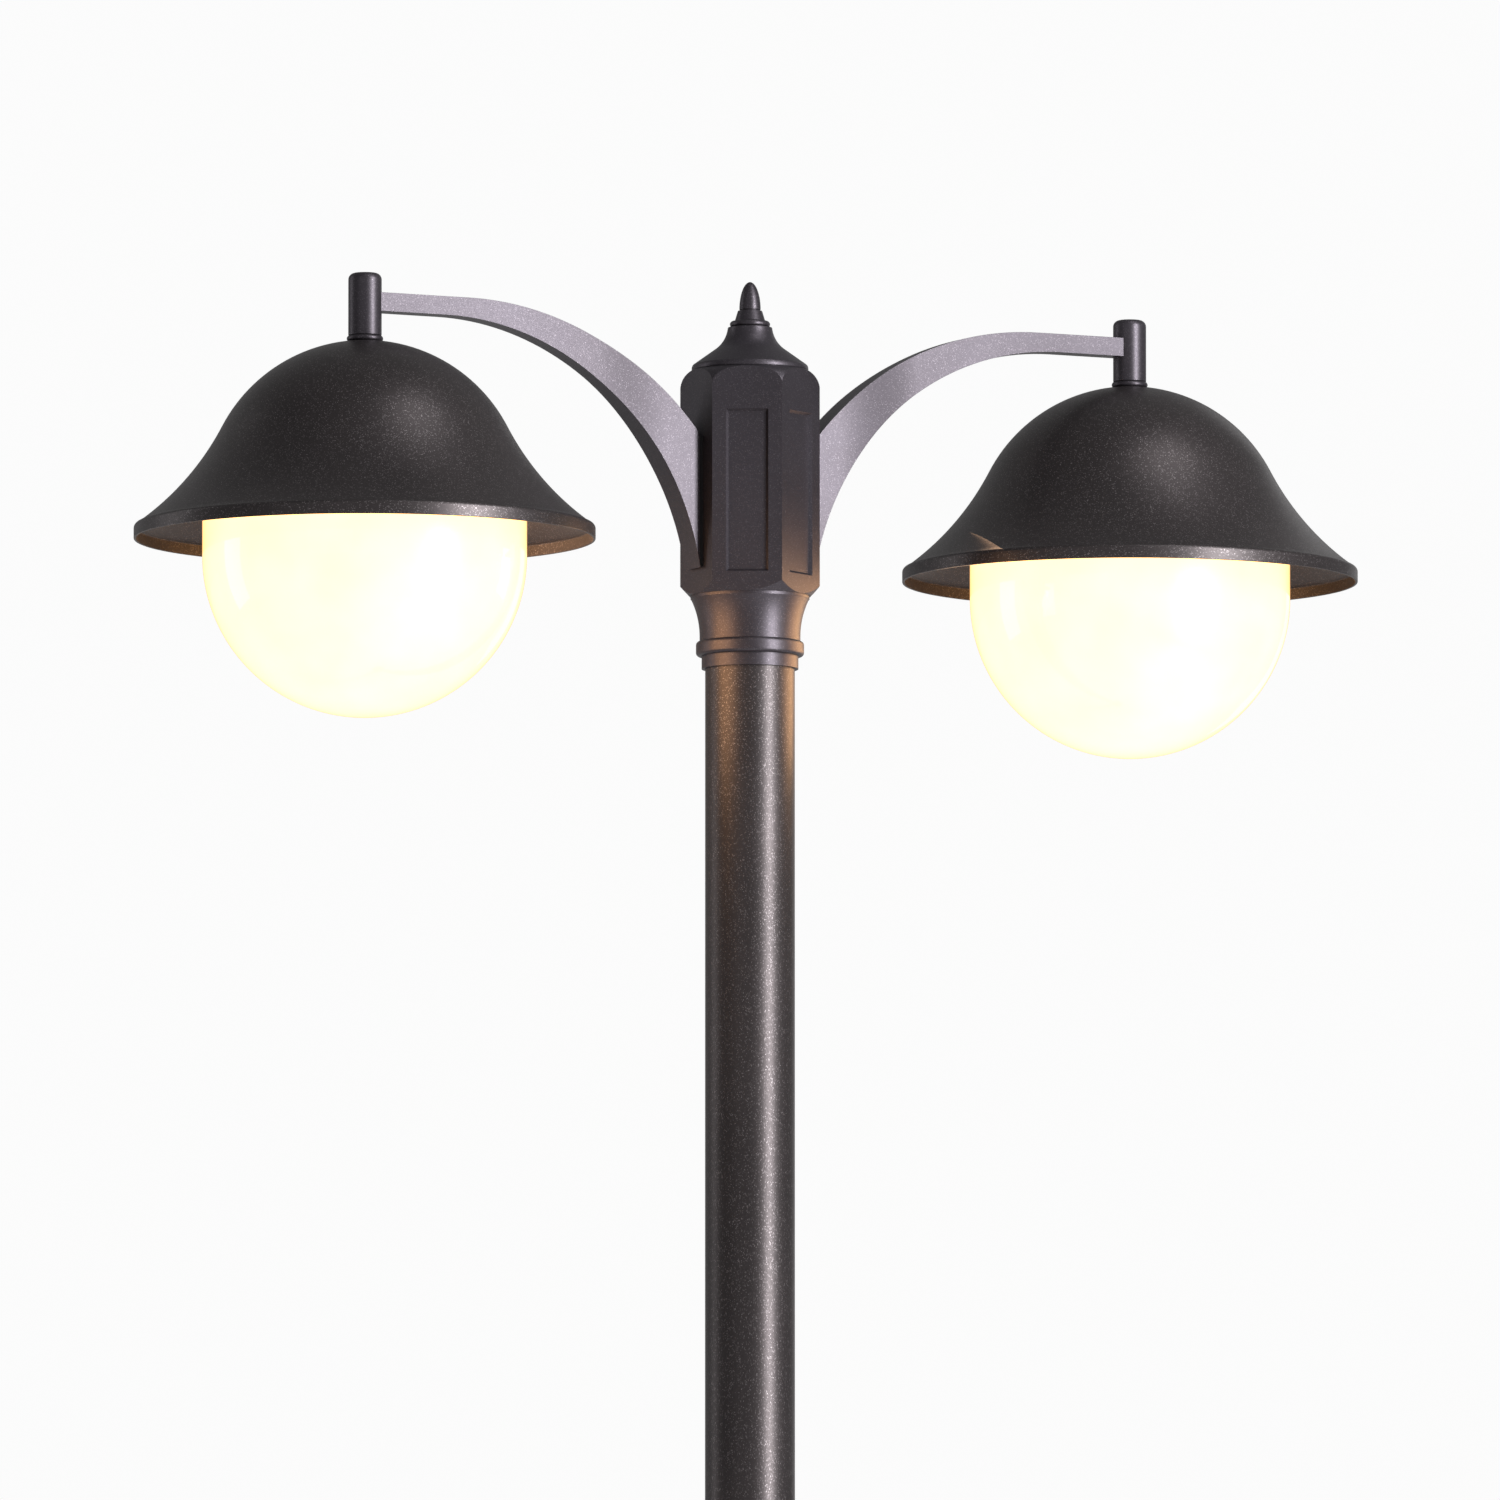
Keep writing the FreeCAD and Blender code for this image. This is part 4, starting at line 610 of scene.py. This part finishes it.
def base_covers():
    """The two halves of the cover over the flange, joined along X."""
    low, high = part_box("base_cover_front")
    radius = (high.x - low.x) / 2 / MM
    bore = (POLE_RADIUS + POLE_FIT) / MM
    foot, rise, curve = 28.0, 125.0, 165.0
    ring_r, ring_h, wall = 57.0, 16.0, 3.0
    half_gap = 0.4
    centre_r, centre_z, first, last = arc_between(
        Vector((radius, foot)), Vector((ring_r, foot + rise)), curve)
    stations = [(radius - wall, 0), (radius, 0)] + arc(centre_r, centre_z, curve, first, last, 26)
    stations += [(ring_r, foot + rise + ring_h), (bore, foot + rise + ring_h), (bore, foot + rise - wall)]
    stations += [(ring_r - wall, foot + rise - wall)]
    stations += arc(centre_r, centre_z, curve + wall, last, first, 26)[1:] + [(radius - wall, 0)]
    for name, sign in (("front", -1), ("back", 1)):
        piece = turned(f"cover_half_{name}", POST_AXIS, at(low.z, stations), segments=144, ring=True)
        edit(piece)
        bpy.ops.mesh.select_all(action="SELECT")
        bpy.ops.mesh.bisect(plane_co=(0, sign * half_gap * MM, 0), plane_no=(0, sign, 0), use_fill=True,
                            clear_inner=True, clear_outer=False)
        object_mode()
        soften(piece, 0.8 * MM, angle=40)
        complete(piece, POWDER_COAT, "post", [f"base_cover_{name}"])


base_covers()


# ---------------------------------------------------------------- CAD pieces that show as they are

FINISHES = {
    "powder_coat": POWDER_COAT,
    "cast_coat": CAST_COAT,
    "opal_glass": OPAL,
    "gasket_rubber": RUBBER,
    "stainless": STAINLESS,
    "zinc_steel": ZINC,
    "brass": BRASS,
    "carrier_plastic": THERMOSET,
    "bulb_plastic": DIFFUSER,
}
for part in frame["record"]["subparts"]:
    node = frame["nodes"][part["node"]]
    node.data.materials.clear()
    node.data.materials.append(FINISHES[part["material_slot"]])


# ---------------------------------------------------------------- studio

def camera():
    """A long lens, to the left of the front and below the head of the post, looking a little up."""
    azimuth, elevation, distance = -27.3 * DEG, -5.95 * DEG, 27.4
    aim_drop = 80.5 * MM
    target = Vector((0, 0, COLLAR_FOOT - aim_drop))
    back = Vector((math.sin(azimuth) * math.cos(elevation), -math.cos(azimuth) * math.cos(elevation),
                   math.sin(elevation)))
    lens = bpy.data.cameras.new("long_lens")
    lens.sensor_width = 36
    lens.lens = 663.6
    lens.clip_end = 500
    holder = bpy.data.objects.new("camera", lens)
    bpy.context.scene.collection.objects.link(holder)
    holder.location = target + back * distance
    holder.rotation_euler = (-back).to_track_quat("-Z", "Y").to_euler()
    bpy.context.scene.camera = holder


def softbox(name, place, aim, width, height, power, tint="FFFFFF"):
    """A rectangular soft light that the camera doesn't see."""
    lamp = bpy.data.lights.new(name, "AREA")
    lamp.shape = "RECTANGLE"
    lamp.size = width
    lamp.size_y = height
    lamp.energy = power
    lamp.color = colour(tint)[:3]
    holder = bpy.data.objects.new(name, lamp)
    bpy.context.scene.collection.objects.link(holder)
    holder.location = place
    holder.rotation_euler = (Vector(aim) - Vector(place)).to_track_quat("-Z", "Y").to_euler()
    holder.visible_camera = False


def backdrop():
    """A pale floor, far larger than any view of the post, and a white surround that lights the post
    dimly but stands behind it almost white."""
    bpy.ops.object.select_all(action="DESELECT")
    bpy.ops.mesh.primitive_plane_add(size=600, location=(0, 0, 0))
    floor = named("studio_floor")
    material, tree, shader = new_material("pale_floor", Roughness=0.9, Emission_Strength=0.15)
    shader.inputs["Emission Color"].default_value = colour("FFFFFF")
    place = add(tree, "TexCoord").outputs["Object"]
    tone = add(tree, "TexNoise", {"Vector": place, "Scale": 0.8, "Detail": 2.0})
    tree.links.new(ramp(tree, tone.outputs["Fac"], [(0.3, "E4E4E4"), (0.7, "E8E8E8")]),
                   shader.inputs["Base Color"])
    floor.data.materials.append(material)
    world = bpy.data.worlds.new("studio")
    bpy.context.scene.world = world
    world.use_nodes = True
    tree = world.node_tree
    seen = add(tree, "LightPath").outputs["Is Camera Ray"]
    strength = add(tree, "MapRange", {"Value": seen, "To Min": 0.26, "To Max": 0.97})
    tree.links.new(strength.outputs["Result"], tree.nodes["Background"].inputs["Strength"])
    tree.nodes["Background"].inputs["Color"].default_value = colour("FFFFFF")


camera()
backdrop()
HEAD = (0, 0, COLLAR_FOOT)
softbox("front_key", (1.71, -3.84, 3.4), HEAD, 0.95, 4.5, 400)
softbox("crown_sheen", (1.0, -2.4, 7.0), HEAD, 2.4, 2.0, 45)
softbox("left_front_fill", (-3.6, -2.6, 4.2), HEAD, 2.5, 3.0, 8)
softbox("left_back_rim", (-3.22, 2.70, 3.6), HEAD, 1.3, 4.0, 26)
softbox("right_back_rim", (3.4, 2.6, 3.6), HEAD, 1.0, 4.0, 6)
for lamp_side, lamp_sign in SIDES.items():
    glow = (lamp_sign * 0.25, -0.03, RIM - 70 * MM)
    softbox(f"lamp_glow_{lamp_side}", glow, (0, 0, RIM - 110 * MM), 0.22, 0.22, 0.55, "FFCDA2")
bpy.context.scene.view_settings.view_transform = "Standard"
